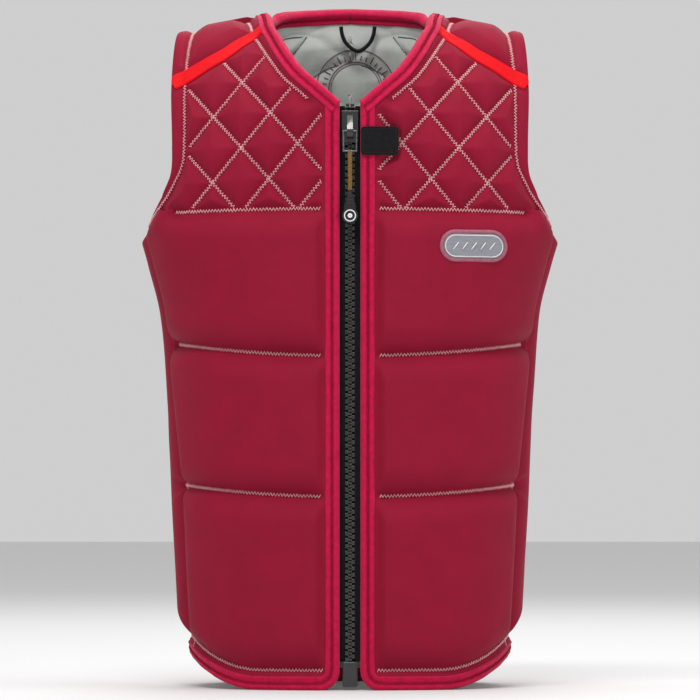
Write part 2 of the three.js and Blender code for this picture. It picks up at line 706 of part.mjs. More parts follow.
function buildSlider() {
  const mid = SLIDER_LOW + SLIDER_LENGTH / 2;
  const w = SLIDER_WIDTH / 2;
  const lip = CHAIN_HALF + CLEAR;
  const tapeFront = chainY - TAPE_THICK / 2 - CLEAR;
  // front plate with a lip each side that wraps the chain as far as the tape
  const section = new THREE.Shape([[-w, sliderFace - PLATE], [w, sliderFace - PLATE],
    [w, tapeFront], [lip, tapeFront], [lip, sliderFace], [-lip, sliderFace],
    [-lip, tapeFront], [-w, tapeFront]].map(([x, y]) => new THREE.Vector2(x, y)));
  const body = new THREE.ExtrudeGeometry(section, { depth: SLIDER_LENGTH, bevelEnabled: false });
  body.translate(0, 0, SLIDER_LOW);
  add("slider_body", body, "zip_plastic");
  const rear = chainFront + CHAIN_THICK + CLEAR;
  add("slider_back_plate", roundPlate(SLIDER_WIDTH, SLIDER_LENGTH, 3, rear, rear + 2, 0, mid),
    "zip_plastic");
  // crown: a lug with an eye that the link's pin turns in
  const eye = LINK_WIRE * 0.75 + CLEAR;
  const foot = sliderFace - PLATE - CLEAR / 2;
  const front = crownEye.y - eye - 1.6;
  const lug = new THREE.Shape();
  lug.moveTo(foot, SLIDER_LOW + 3);
  lug.lineTo(front + 2, SLIDER_LOW + 5);
  lug.lineTo(front, crownEye.z - 2);
  lug.lineTo(front, crownEye.z + 2);
  lug.lineTo(front + 3, crownEye.z + 7);
  lug.lineTo(foot, SLIDER_LOW + SLIDER_LENGTH - 4);
  lug.holes.push(new THREE.Path(circle(crownEye.y, crownEye.z, eye, 10)));
  const width = LINK_WIDTH - 2 * LINK_WIRE - 4;
  const crown = new THREE.ExtrudeGeometry(lug, { depth: width, bevelEnabled: false });
  remap(crown, (y, z, x) => new THREE.Vector3(x - width / 2, y, z));
  add("slider_crown", crown, "zip_plastic");
}

// ---------------------------------------------------------------- pull
const linkLow = crownEye.z + LINK_WIRE / 2 - LINK_LENGTH;
const cordTop = linkLow - CLEAR / 2;
const gripTop = cordTop - CORD_LENGTH - CLEAR;

function frame(width, height, wire) {
  const w = width / 2;
  const h = height / 2;
  const s = new THREE.Shape([[-w, -h], [w, -h], [w, h], [-w, h]].map(([x, y]) => new THREE.Vector2(x, y)));
  s.holes.push(new THREE.Path([[-w + wire, -h + wire], [-w + wire, h - wire], [w - wire, h - wire],
    [w - wire, -h + wire]].map(([x, y]) => new THREE.Vector2(x, y))));
  return s;
}

function buildPull() {
  const link = new THREE.ExtrudeGeometry(frame(LINK_WIDTH, LINK_LENGTH, LINK_WIRE),
    { depth: LINK_WIRE, bevelEnabled: false });
  link.rotateX(Math.PI / 2);
  link.translate(0, crownEye.y + LINK_WIRE / 2, linkLow + LINK_LENGTH / 2);
  add("pull_link", link, "zip_plastic");
  const steps = Math.round(CORD_LENGTH / (2 * CORD));
  const cord = new THREE.CylinderGeometry(CORD / 2, CORD / 2, CORD_LENGTH, 8, steps);
  cord.rotateX(Math.PI / 2);
  cord.translate(0, crownEye.y, cordTop - CORD_LENGTH / 2);
  add("pull_cord", cord, "cord");
  const [gw, gl, gt] = GRIP;
  const back = crownEye.y + gt / 2;
  add("pull_grip", roundPlate(gw, gl, 4, back - gt, back, 0, gripTop - gl / 2), "rubber");
  const medal = new THREE.CylinderGeometry(MEDAL_RADIUS, MEDAL_RADIUS, 2, 20);
  medal.translate(0, back - gt - CLEAR - 1, gripTop - gl + MEDAL_RADIUS);
  add("pull_medallion", medal, "rubber");
}

// ---------------------------------------------------------------- keeper tab, badge, hang loop
function buildTab() {
  const [w, h, t] = TAB;
  const back = -(FRONT_DEPTH - bindMiddle) - BIND_THICK / 2 - CLEAR;
  add("keeper_tab", roundPlate(w, h, 3, back - t, back, ZIP_BIND_IN + 1 + w / 2, SLIDER_LOW + 1.5),
    "rubber");
}

// A rounded-end plate that follows the chest, between two heights over the shell.
function badgePlate(length, height, low, high) {
  const panel = panels.left;
  const [cu, cv] = findOn(panel, ...BADGE_AT);
  const radius = height / 2;
  const columns = 14;
  const grid = new THREE.BoxGeometry(1, 1, 1, columns, 4, 1);
  const perU = 1 / across(panel, cu, cv);
  const perV = 1 / upward(panel, cu, cv);
  return remap(grid, (x, y, z) => {
    const turn = -Math.cos((x + 0.5) * Math.PI);
    const dx = (turn * length) / 2;
    const past = Math.max(Math.abs(dx) - (length / 2 - radius), 0);
    const half = Math.max(Math.sqrt(Math.max(radius ** 2 - past ** 2, 0)), radius * 0.3);
    return panel.at("outer", cu + dx * perU, cv + 2 * y * half * perV, z > 0 ? high : low);
  });
}

function across(panel, u, v) {
  return panel.at("outer", u - 0.05, v, 0).distanceTo(panel.at("outer", u + 0.05, v, 0)) / 0.1;
}

function upward(panel, u, v) {
  return panel.at("outer", u, v - 0.02, 0).distanceTo(panel.at("outer", u, v + 0.02, 0)) / 0.04;
}

// The (u, v) of the skin point that is seen from the front at (x, z).
function findOn(panel, x, z) {
  let best = [0, 0];
  let least = Infinity;
  for (let u = 0; u <= 1; u += 0.01) {
    for (let v = 0; v <= 1; v += 0.01) {
      const p = panel.at("outer", u, v, 0);
      const miss = Math.hypot(p.x - x, p.z - z);
      if (miss < least) {
        least = miss;
        best = [u, v];
      }
    }
  }
  return best;
}

function buildBadge() {
  add("badge_rim", badgePlate(BADGE[0], BADGE[1], CLEAR, 2.2), "rubber");
  add("badge_plate", badgePlate(BADGE[0] - 6, BADGE[1] - 6, 2.2 + CLEAR, 3.8), "badge");
}

function buildLoop() {
  const centre = (LOOP_ENDS[0] + LOOP_ENDS[1]) / 2;
  const half = (LOOP_ENDS[1] - LOOP_ENDS[0]) / 2;
  const nodes = panels.back.nodes[BACK_UP.length - 1];
  const rim = nodes[Math.floor(nodes.length / 2)];
  const top = rim.inner.clone();
  top.y -= LOOP_CORD / 2 + 8;
  top.z -= 5;
  const points = [[-half, 0], [-half + 1, -0.32], [-half + 5, -0.7], [0, -1],
    [half - 5, -0.7], [half - 1, -0.32], [half, 0]]
    .map(([x, z]) => new THREE.Vector3(centre + x, top.y, top.z + z * LOOP_DROP));
  const path = new THREE.CatmullRomCurve3(points, false, "centripetal");
  const ring = new THREE.Shape(circle(0, 0, LOOP_CORD / 2, 8));
  const tube = new THREE.ExtrudeGeometry(ring, { steps: 16, extrudePath: path });
  add("hang_loop", tube, "zip_cloth");
}

// ---------------------------------------------------------------- assembly
for (const [word, side] of SIDES) {
  buildFront(word, side);
  buildSoftLinks(word, side);
  buildFrontBindings(word);
  buildShoulderTape(word);
  buildChain(word, side);
  buildTape(word, side);
  buildStops(word, side);
}
buildBack();
buildBackBindings();
buildRetainer();
buildSlider();
buildPull();
buildTab();
buildBadge();
buildLoop();

export default vest;
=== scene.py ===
import math

import bmesh
import bpy
import numpy as np
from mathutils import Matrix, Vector, kdtree
from mathutils.bvhtree import BVHTree


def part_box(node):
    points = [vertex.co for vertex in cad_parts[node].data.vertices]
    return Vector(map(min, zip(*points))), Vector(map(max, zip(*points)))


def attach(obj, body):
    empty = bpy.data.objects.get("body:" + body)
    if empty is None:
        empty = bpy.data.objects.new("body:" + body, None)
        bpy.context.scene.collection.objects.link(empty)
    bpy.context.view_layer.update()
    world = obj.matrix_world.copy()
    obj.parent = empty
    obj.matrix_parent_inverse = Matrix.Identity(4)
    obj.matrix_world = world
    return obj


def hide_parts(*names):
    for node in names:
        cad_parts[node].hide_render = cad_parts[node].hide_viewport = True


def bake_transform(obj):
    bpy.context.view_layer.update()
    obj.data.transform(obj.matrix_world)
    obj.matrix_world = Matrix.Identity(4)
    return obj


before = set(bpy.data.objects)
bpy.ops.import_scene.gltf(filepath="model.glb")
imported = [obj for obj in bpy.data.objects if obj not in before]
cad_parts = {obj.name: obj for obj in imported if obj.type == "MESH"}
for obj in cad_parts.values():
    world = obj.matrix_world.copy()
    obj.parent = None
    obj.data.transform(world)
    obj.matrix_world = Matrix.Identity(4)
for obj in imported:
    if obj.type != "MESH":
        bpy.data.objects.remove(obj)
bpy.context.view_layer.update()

# Sizes below are in millimetres, as the vest's CAD source has them; MM turns them into metres.
MM = 0.001
FRONT_DEPTH, BACK_DEPTH = 115.0, 119.0
ROUND = 2.4
WIDTHS = [(0, 140), (60, 144), (160, 149.5), (260, 154.5), (330, 160),
          (375, 171), (410, 180), (470, 184), (620, 186)]
SHOULDER_SPAN = 185.0
HEM_RISE, HEM_FLAT = 28.0, 31.0
HEM_EDGE, ZIP_EDGE, NECK_BASE = 9.4, 18.9, 511.0
ARMPIT = 405.0
NECK = [(33, 523.5), (51.5, 540), (66, 561), (76.5, 579)]
ARMHOLE = [(166, 432), (158, 452), (156.5, 476), (157, 529)]
BACK_NECK = (81.0, 79.0)
RIM_LEVEL = 594.0
EDGE_OUT, EDGE_IN, PAD = 1.0, 9.0, 19.0
SIDE_END = 91.5                 # where front and back pieces meet under the arm, degrees across
SIDES = [("left", 1.0), ("right", -1.0)]
ZIP_SHARE, NECK_END = 0.74, 0.9          # a front half's inner edge: zipper, neck, shoulder strap
SIDE_SHARE, UNDER_SHARE = 0.585, 0.66    # its outer edge: side, under the arm, armhole
SHOULDER_SHARE = 0.42                    # of half the back's top edge
ARM_TOP = (150.0, 578.0)                 # armhole edge at the shoulder, across and up
STITCH_INSET, ARM_INSET, HEM_INSET = 11.0, 12.0, 8.0    # sewn lines inside neck, armhole, hem
TAPE_WIDTH = 14.0
BIND_WIDTH, NECK_BIND_WIDTH, BIND_HALF = 9.0, 8.6, 4.9
CHAIN_PITCH = 5.5
LINER_DEPTH = 6.0                        # of the liner's outer face under the skin
SHELL_DEPTH = 5.0                        # of the padded shell's inner face under the skin
rng = np.random.default_rng(7)


# ---------------------------------------------------------------- camera and stage
def make_camera():
    """Level with the middle of the vest, far off with a long lens."""
    data = bpy.data.cameras.new("camera")
    data.lens = 465.0
    data.sensor_width = 36.0
    camera = bpy.data.objects.new("camera", data)
    camera.location = (0.0, -8.0, 0.297)
    data.clip_end = 20
    camera.rotation_euler = (math.radians(90), 0, 0)
    bpy.context.scene.collection.objects.link(camera)
    bpy.context.scene.camera = camera


def area_light(name, place, aim, size, power, colour=(1, 1, 1)):
    data = bpy.data.lights.new(name, "AREA")
    data.shape = "RECTANGLE"
    data.size, data.size_y = size
    data.energy = power
    data.color = colour
    lamp = bpy.data.objects.new(name, data)
    lamp.location = place
    lamp.rotation_euler = (Vector(aim) - Vector(place)).to_track_quat("-Z", "Y").to_euler()
    bpy.context.scene.collection.objects.link(lamp)


def make_stage():
    """Pale floor, pale surroundings and soft lamps."""
    world = bpy.data.worlds.new("studio")
    world.use_nodes = True
    sky = world.node_tree.nodes["Background"]
    sky.inputs["Color"].default_value = (1, 1, 1, 1)
    sky.inputs["Strength"].default_value = 0.62
    bpy.context.scene.world = world
    bpy.context.scene.view_settings.view_transform = "Standard"
    bpy.ops.mesh.primitive_plane_add(size=12, location=(0, 0, 0))
    floor = bpy.context.object
    floor.name = "floor"
    floor.data.materials.append(plain("floor_paint", (0.74, 0.74, 0.74), 0.8))
    area_light("key", (-0.35, -1.5, 2.3), (0, 0, 0.3), (1.1, 0.5), 31)
    area_light("top", (0.1, 0.1, 2.3), (0, 0, 0.4), (1.6, 1.0), 16)
    area_light("rim", (1.7, -0.9, 1.0), (0, 0, 0.3), (0.7, 1.4), 5)
    area_light("back", (0.3, 2.0, 1.7), (0, 0, 0.4), (1.6, 1.0), 16)


# ---------------------------------------------------------------- materials
def linear(rgb):
    """Linear colour from an 8-bit display colour."""
    return tuple((c / 255 / 12.92) if c / 255 <= 0.04045 else ((c / 255 + 0.055) / 1.055) ** 2.4
                 for c in rgb)


def plain(name, colour, roughness):
    mat = bpy.data.materials.new(name)
    mat.use_nodes = True
    shader = mat.node_tree.nodes["Principled BSDF"]
    shader.inputs["Base Color"].default_value = (*colour, 1)
    shader.inputs["Roughness"].default_value = roughness
    return mat


class Shade:
    """A Principled material whose colour and bump come from small node chains."""

    def __init__(self, name, rgb, roughness, sheen=0.0, metallic=0.0, coat=0.0, gloss=0.18):
        self.mat = plain(name, linear(rgb), roughness)
        self.tree = self.mat.node_tree
        self.shader = self.tree.nodes["Principled BSDF"]
        self.shader.inputs["Metallic"].default_value = metallic
        self.shader.inputs["Sheen Weight"].default_value = sheen
        self.shader.inputs["Sheen Roughness"].default_value = 0.45
        self.shader.inputs["Coat Weight"].default_value = coat
        self.shader.inputs["Specular IOR Level"].default_value = gloss
        self.rgb = linear(rgb)
        self.coords = self.node("ShaderNodeTexCoord")
        self.height = None

    def node(self, kind, **values):
        made = self.tree.nodes.new(kind)
        for key, value in values.items():
            setattr(made, key, value)
        return made

    def join(self, out, into):
        self.tree.links.new(out, into)

    def scaled(self, scale):
        mapping = self.node("ShaderNodeMapping")
        mapping.inputs["Scale"].default_value = scale
        self.join(self.coords.outputs["Object"], mapping.inputs["Vector"])
        return mapping.outputs["Vector"]

    def noise(self, scale, detail=3.0, stretch=(1, 1, 1)):
        tex = self.node("ShaderNodeTexNoise")
        tex.inputs["Scale"].default_value = scale
        tex.inputs["Detail"].default_value = detail
        self.join(self.scaled(stretch), tex.inputs["Vector"])
        return tex.outputs["Fac"]

    def wave(self, scale, direction, distortion=0.6, detail=1.0):
        tex = self.node("ShaderNodeTexWave", bands_direction=direction)
        tex.inputs["Scale"].default_value = scale
        tex.inputs["Distortion"].default_value = distortion
        tex.inputs["Detail"].default_value = detail
        self.join(self.scaled((1, 1, 1)), tex.inputs["Vector"])
        return tex.outputs["Fac"]

    def cells(self, scale):
        tex = self.node("ShaderNodeTexVoronoi")
        tex.inputs["Scale"].default_value = scale
        self.join(self.scaled((1, 1, 1)), tex.inputs["Vector"])
        return tex.outputs["Distance"]

    def mottle(self, fac, dark=0.75, light=1.2):
        """Colour that drifts between a darker and a lighter tone of the base."""
        ramp = self.node("ShaderNodeValToRGB")
        ramp.color_ramp.elements[0].position = 0.3
        ramp.color_ramp.elements[1].position = 0.7
        ramp.color_ramp.elements[0].color = (*[c * dark for c in self.rgb], 1)
        ramp.color_ramp.elements[1].color = (*[min(c * light, 1) for c in self.rgb], 1)
        self.join(fac, ramp.inputs["Fac"])
        self.join(ramp.outputs["Color"], self.shader.inputs["Base Color"])
        return self

    def bump(self, fac, strength, distance):
        made = self.node("ShaderNodeBump")
        made.inputs["Strength"].default_value = strength
        made.inputs["Distance"].default_value = distance
        self.join(fac, made.inputs["Height"])
        if self.height:
            self.join(self.height, made.inputs["Normal"])
        self.height = made.outputs["Normal"]
        self.join(self.height, self.shader.inputs["Normal"])
        return self


def make_materials():
    """One procedural material for each kind of stuff."""
    mats = {}
    skin = Shade("neoprene", (141, 10, 44), 0.75, sheen=0.02)
    skin.mottle(skin.noise(38, 6), 0.95, 1.06)
    skin.bump(skin.wave(330, "Z", 1.5, 2), 0.35, 0.0004)
    skin.bump(skin.noise(900, 2), 0.3, 0.0002)
    mats["neoprene"] = skin.mat
    edge = Shade("binding", (192, 8, 66), 0.7, sheen=0.1)
    edge.mottle(edge.noise(220, 5), 0.84, 1.16)
    edge.bump(edge.wave(420, "DIAGONAL", 2.5, 2), 0.5, 0.0004)
    edge.bump(edge.noise(700, 2), 0.4, 0.0003)
    mats["binding"] = edge.mat
    seam = Shade("binding_stitch", (150, 2, 44), 0.7)
    seam.mottle(seam.noise(500, 2), 0.7, 1.25)
    mats["binding_stitch"] = seam.mat
    red = Shade("red_tape", (228, 0, 16), 0.6)
    red.mottle(red.noise(60, 3), 0.85, 1.1)
    red.bump(red.wave(600, "DIAGONAL", 0.5), 0.4, 0.0002)
    mats["red_tape"] = red.mat
    knit = Shade("liner", (190, 194, 189), 0.85, sheen=0.15)
    knit.mottle(knit.noise(70, 4), 0.9, 1.05)
    knit.bump(knit.cells(900), 0.35, 0.0003)
    mats["liner"] = knit.mat
    thread = Shade("thread", (236, 176, 178), 0.6, sheen=0.1)
    thread.mottle(thread.noise(400, 3), 0.75, 1.15)
    mats["thread"] = thread.mat
    dark = Shade("liner_stitch", (70, 84, 80), 0.7)
    dark.mottle(dark.noise(400, 2), 0.7, 1.3)
    mats["liner_stitch"] = dark.mat
    ink = Shade("liner_print", (112, 84, 92), 0.85)
    ink.mottle(ink.noise(500, 3), 0.8, 1.25)
    mats["liner_print"] = ink.mat
    moulded = Shade("zip_plastic", (22, 22, 24), 0.26, coat=0.35, gloss=0.6)
    moulded.mottle(moulded.noise(250, 4), 0.6, 1.5)
    moulded.bump(moulded.noise(1500, 2), 0.12, 0.0001)
    mats["zip_plastic"] = moulded.mat
    metal = Shade("link_metal", (112, 112, 118), 0.26, metallic=0.85, gloss=0.5)
    metal.mottle(metal.noise(600, 4), 0.5, 1.5)
    mats["link_metal"] = metal.mat
    cloth = Shade("zip_cloth", (17, 16, 19), 0.85, sheen=0.1)
    cloth.mottle(cloth.noise(300, 3), 0.7, 1.5)
    cloth.bump(cloth.wave(900, "DIAGONAL", 0.4), 0.6, 0.0002)
    mats["zip_cloth"] = cloth.mat
    braid = Shade("cord", (128, 100, 48), 0.7, sheen=0.1)
    braid.mottle(braid.noise(900, 3), 0.45, 1.5)
    mats["cord"] = braid.mat
    grip = Shade("rubber", (42, 40, 41), 0.55)
    grip.mottle(grip.noise(400, 3), 0.8, 1.25)
    grip.bump(grip.noise(1800, 2), 0.2, 0.0001)
    mats["rubber"] = grip.mat
    rim = Shade("badge_rim", (158, 96, 112), 0.5)
    rim.mottle(rim.noise(300, 3), 0.85, 1.1)
    mats["badge_rim"] = rim.mat
    plate = Shade("badge", (146, 148, 155), 0.38, metallic=0.25)
    plate.mottle(plate.noise(120, 4, (1, 1, 12)), 0.85, 1.12)
    plate.bump(plate.noise(900, 3, (1, 1, 10)), 0.15, 0.0001)
    mats["badge"] = plate.mat
    white = Shade("white_print", (232, 230, 232), 0.5)
    white.mottle(white.noise(500, 3), 0.9, 1.02)
    mats["white_print"] = white.mat
    return mats


# ---------------------------------------------------------------- the vest's outer skin
def through(knots, x):
    """Cubic curve through a few knots, for an array of x."""
    xs = np.array([k[0] for k in knots], float)
    ys = np.array([k[1] for k in knots], float)
    n = len(xs)
    slope = np.array([(ys[min(i + 1, n - 1)] - ys[max(i - 1, 0)])
                      / (xs[min(i + 1, n - 1)] - xs[max(i - 1, 0)]) for i in range(n)])
    i = np.clip(np.searchsorted(xs, x) - 1, 0, n - 2)
    h = xs[i + 1] - xs[i]
    t = np.clip((x - xs[i]) / h, 0, 1)
    return ((2 * t**3 - 3 * t**2 + 1) * ys[i] + (t**3 - 2 * t**2 + t) * h * slope[i]
            + (3 * t**2 - 2 * t**3) * ys[i + 1] + (t**3 - t**2) * h * slope[i + 1])


def distances(points):
    """Distance along a line to each of its points."""
    return np.r_[0, np.cumsum(np.linalg.norm(np.diff(points, axis=0), axis=1))]


def smooth(t):
    t = np.clip(t, 0, 1)
    return t * t * (3 - 2 * t)


def sideways(across):
    """Share of the half width at an angle across the body section."""
    return np.abs(np.sin(np.radians(across))) ** (2 / ROUND)


def across_of(w):
    return np.degrees(np.arcsin(np.clip(w, 0, 1) ** (ROUND / 2)))


def shoulder_round(across):
    """Height where the skin starts to lean in to the shoulder, and how far it still rises."""
    x = sideways(across) * SHOULDER_SPAN
    start = np.where(across > 90, 373.0, 530 - 0.85 * x)
    top = 579 + 0.16 * (150 - x) + 0.45 * (72 - x + np.hypot(72 - x, 12))
    return start, top - start


def skin(across, up):
    """Points of the outer skin, in millimetres, for chart arrays across (degrees) and up."""
    across, up = np.broadcast_arrays(np.asarray(across, float), np.asarray(up, float))
    w = sideways(across)
    start, rise = shoulder_round(across)
    lean = np.where(up < start, 0, (up - start) / rise)
    z = np.where(up < start, up, start + rise * np.sin(lean))
    depth = np.maximum(1 - w**ROUND, 0) ** (1 / ROUND) * np.cos(lean)
    y = np.where(across > 90, BACK_DEPTH, -FRONT_DEPTH) * depth
    sign = np.where(np.sin(np.radians(across)) < 0, -1.0, 1.0)
    return np.stack([sign * w * through(WIDTHS, z), y, z], -1)


def chart_of(x, z, back=False):
    """Chart values of a skin point seen from the front or back."""
    angle = float(across_of(x / through(WIDTHS, np.array(float(z)))))
    across = 180 - angle if back else angle
    start, rise = (float(v) for v in shoulder_round(np.array(across)))
    if z < start:
        return across, float(z)
    return across, start + rise * math.asin(min((z - start) / rise, 1))


def chart_from_above(x, y):
    """Chart values of a back skin point seen from above."""
    across = 180 - float(across_of(x / SHOULDER_SPAN))
    w = float(sideways(across))
    start, rise = (float(v) for v in shoulder_round(np.array(across)))
    reach = BACK_DEPTH * (1 - w**ROUND) ** (1 / ROUND)
    return across, start + rise * math.acos(min(y / reach, 1))


def hem_height(across):
    """The hem is level in front and behind, and lifts at the sides."""
    off = np.where(across > 90, 180 - across, across)
    return HEM_EDGE + HEM_RISE * smooth((off - HEM_FLAT) / (90 - HEM_FLAT))


def track(points):
    """A smooth curve through chart points, as a function of a share 0..1 of its length."""
    p = np.array(points, float)
    chord = distances(p)
    return lambda t: np.stack([through(list(zip(chord, p[:, k])), np.asarray(t) * chord[-1])
                               for k in (0, 1)], -1)


def line(a, b):
    """A straight line as a function of a share 0..1."""
    a, b = np.array(a, float), np.array(b, float)
    return lambda t: a + (b - a) * np.asarray(t)[..., None]


def pieced(parts):
    """One function of 0..1 made of several, each (end share, function of 0..1)."""
    def value(t):
        t = np.asarray(t, float)
        out = np.zeros(t.shape + (2,))
        begin = 0.0
        for end, part in parts:
            use = (t >= begin) if end == parts[-1][0] else (t >= begin) & (t < end)
            local = np.clip((t - begin) / (end - begin), 0, 1)
            out[use] = part(local)[use]
            begin = end
        return out
    return value


class Sheet:
    """A fine grid of chart points between four edges, with its skin points and normals."""

    def __init__(self, us, vs, low, high, left, right, fade, side=1.0):
        self.us, self.vs, self.side, self.trees = us, vs, side, {}
        u, v = np.meshgrid(us, vs)

        def ruled(uu, vv):
            return low(uu) * (1 - vv[..., None]) + high(uu) * vv[..., None]

        chart = (ruled(u, v)
                 + ((1 - u) ** fade)[..., None] * (left(v) - ruled(0 * u, v))
                 + (u ** fade)[..., None] * (right(v) - ruled(0 * u + 1, v)))
        self.across, self.up = chart[..., 0], chart[..., 1]
        self.point = skin(self.across, self.up)
        e = 0.05
        side_step = skin(self.across + e, self.up) - skin(self.across - e, self.up)
        up_step = skin(self.across, self.up + e) - skin(self.across, self.up - e)
        normal = np.cross(side_step, up_step)
        self.normal = normal / np.linalg.norm(normal, axis=-1, keepdims=True)
        self.point[..., 0] *= side
        self.normal[..., 0] *= side

    def at(self, field, u, v):
        """Bilinear value of a grid field at arrays of shares u and v."""
        fu = np.interp(u, self.us, np.arange(len(self.us)))
        fv = np.interp(v, self.vs, np.arange(len(self.vs)))
        i = np.clip(fu.astype(int), 0, len(self.us) - 2)
        j = np.clip(fv.astype(int), 0, len(self.vs) - 2)
        a, b = (fu - i)[..., None], (fv - j)[..., None]
        return ((field[j, i] * (1 - a) + field[j, i + 1] * a) * (1 - b)
                + (field[j + 1, i] * (1 - a) + field[j + 1, i + 1] * a) * b)

    def solve(self, key, grid, want):
        """Shares (u, v) at which a two-column grid field takes the wanted values."""
        nu, nv = len(self.us), len(self.vs)
        if key not in self.trees:
            tree = kdtree.KDTree(nu * nv)
            for k, p in enumerate(grid.reshape(-1, 2)):
                tree.insert((*p, 0), k)
            tree.balance()
            self.trees[key] = tree
        near = np.array([self.trees[key].find((*p, 0))[1] for p in want])
        u, v = self.us[near % nu], self.vs[near // nu]
        cell_u, cell_v = 1 / nu, 1 / nv
        for _ in range(6):
            u, v = np.clip(u, cell_u, 1 - cell_u), np.clip(v, cell_v, 1 - cell_v)
            gap = want - self.at(grid, u, v)
            du = self.at(grid, u + cell_u / 2, v) - self.at(grid, u - cell_u / 2, v)
            dv = self.at(grid, u, v + cell_v / 2) - self.at(grid, u, v - cell_v / 2)
            det = du[:, 0] * dv[:, 1] - du[:, 1] * dv[:, 0]
            det = np.where(np.abs(det) < 1e-6, 1e-6, det)
            a = (gap[:, 0] * dv[:, 1] - gap[:, 1] * dv[:, 0]) / det
            b = (du[:, 0] * gap[:, 1] - du[:, 1] * gap[:, 0]) / det
            u, v = u + np.clip(a, -1, 1) * cell_u, v + np.clip(b, -1, 1) * cell_v
        return np.clip(np.stack([u, v], -1), 0, 1)

    def find(self, x, z):
        """Shares of the points seen from the front or back at arrays x and z."""
        want = np.stack([np.asarray(x, float) * self.side, np.asarray(z, float)], -1)
        return self.solve("seen", self.point[..., [0, 2]], want)

    def locate(self, across, up):
        """Shares of the points at chart values, across scaled to about millimetres."""
        grid = np.stack([self.across * 3, self.up], -1)
        return self.solve("chart", grid, np.stack([np.asarray(across) * 3, up], -1))


def crest(across):
    """Height on the chart at which the shoulder line lies."""
    start, rise = shoulder_round(np.array(across))
    return float(start) + float(rise) * math.pi / 2


def outer_edge(first, arm):
    """A panel's edge up the side, under the arm from there to first, and round the armhole."""
    def under(t):
        return np.stack([SIDE_END + (first - SIDE_END) * np.asarray(t),
                         ARMPIT + (ARMHOLE[0][1] - ARMPIT) * np.asarray(t) ** 2], -1)

    side_low = float(hem_height(np.array(SIDE_END)))
    return pieced([(SIDE_SHARE, line((SIDE_END, side_low), (SIDE_END, ARMPIT))),
                   (UNDER_SHARE, under), (1.0, arm)])


def front_sheet(side, nu=150, nv=430):
    neck_top = float(across_of(BACK_NECK[0] / SHOULDER_SPAN))
    arm_top = float(across_of(ARM_TOP[0] / through(WIDTHS, np.array(ARM_TOP[1]))))
    zip_low, zip_high = chart_of(ZIP_EDGE, HEM_EDGE), chart_of(ZIP_EDGE, NECK_BASE)
    neck = track([zip_high] + [chart_of(*p) for p in NECK])
    yoke_neck = line(chart_of(*NECK[-1]), (neck_top, crest(neck_top)))
    arm = track([chart_of(*p) for p in ARMHOLE] + [(arm_top, crest(arm_top))])

    def low(u):
        across = zip_low[0] + (SIDE_END - zip_low[0]) * u
        return np.stack([across, hem_height(across)], -1)

    return Sheet(
        np.linspace(0, 1, nu), np.linspace(0, 1, nv), low,
        line((neck_top, crest(neck_top)), (arm_top, crest(arm_top))),
        pieced([(ZIP_SHARE, line(zip_low, zip_high)), (NECK_END, neck), (1.0, yoke_neck)]),
        outer_edge(chart_of(*ARMHOLE[0])[0], arm), 2.0, side)


def back_sheet(nu=300, nv=400):
    arm_top = chart_from_above(ARM_TOP[0], 0.4)
    neck_side = chart_from_above(BACK_NECK[0], 0.4)
    turn = np.linspace(math.asin(0.4 / BACK_NECK[1]), math.pi / 2, 24)
    rim = track([chart_from_above(BACK_NECK[0] * math.cos(a), BACK_NECK[1] * math.sin(a))
                 for a in turn])
    top_half = pieced([(SHOULDER_SHARE, line(arm_top, neck_side)), (1.0, rim)])
    arm = track([chart_of(*p, True) for p in ARMHOLE] + [arm_top])
    edge = outer_edge(chart_of(*ARMHOLE[0], True)[0], arm)

    def twin(chart, mirror):
        out = chart.copy()
        out[..., 0] = np.where(mirror, 360 - out[..., 0], out[..., 0])
        return out

    def low(u):
        across = SIDE_END + (360 - 2 * SIDE_END) * u
        return np.stack([across, hem_height(np.where(across > 180, 360 - across, across))], -1)

    us = np.linspace(0, 1, nu)
    corner = SHOULDER_SHARE / 2
    us = np.sort(np.where(np.abs(us - corner) < 0.5 / nu, corner,
                          np.where(np.abs(us - 1 + corner) < 0.5 / nu, 1 - corner, us)))
    sheet = Sheet(us, np.linspace(0, 1, nv), low,
                  lambda u: twin(top_half(np.minimum(u, 1 - u) * 2), u > 0.5),
                  edge, lambda v: twin(edge(v), np.full(np.shape(v), True)), 3.0)
    x = sheet.point[-1, :, 0]
    middle = smooth((BACK_NECK[0] - 2 - np.abs(x)) / 12) * (sheet.point[-1, :, 1] > 1)
    lift = (RIM_LEVEL - 4 * (x / BACK_NECK[0]) ** 2 - sheet.point[-1, :, 2]) * middle
    sheet.point[..., 2] += lift * smooth((sheet.vs[:, None] - 0.72) / 0.28)
    return sheet


# ---------------------------------------------------------------- sewn lines
QUILT_NODE = np.array([96.0, 533.0])     # a crossing of the quilted yoke, across and up
QUILT_DOWN_IN = np.array([-25.0, -27.7])  # to the next crossing towards the zipper
QUILT_DOWN_OUT = np.array([25.6, -31.0])  # and towards the armhole
YOKE_LINE = 420.0
TAPE_LINE = [(160, 529), (133, 547), (111, 560), (99, 569), (80, 580), (70, 583)]


def cross_line(base, rise):
    """A sewn line across a half, lifting by rise from the zipper to the side."""
    return lambda x: base + rise * (x / 150) ** 2


BLOCK_LINES = [cross_line(420.5, -3), cross_line(292, 9), cross_line(169, 9)]


def neck_edge_at(z):
    pts = [(ZIP_EDGE, NECK_BASE)] + NECK
    return np.interp(z, [p[1] for p in pts], [p[0] for p in pts], left=ZIP_EDGE)


def arm_edge_at(z):
    pts = ARMHOLE + [ARM_TOP]
    return np.interp(z, [p[1] for p in pts], [p[0] for p in pts])


def tape_height(x):
    pts = sorted(TAPE_LINE)
    return np.interp(x, [p[0] for p in pts], [p[1] for p in pts])


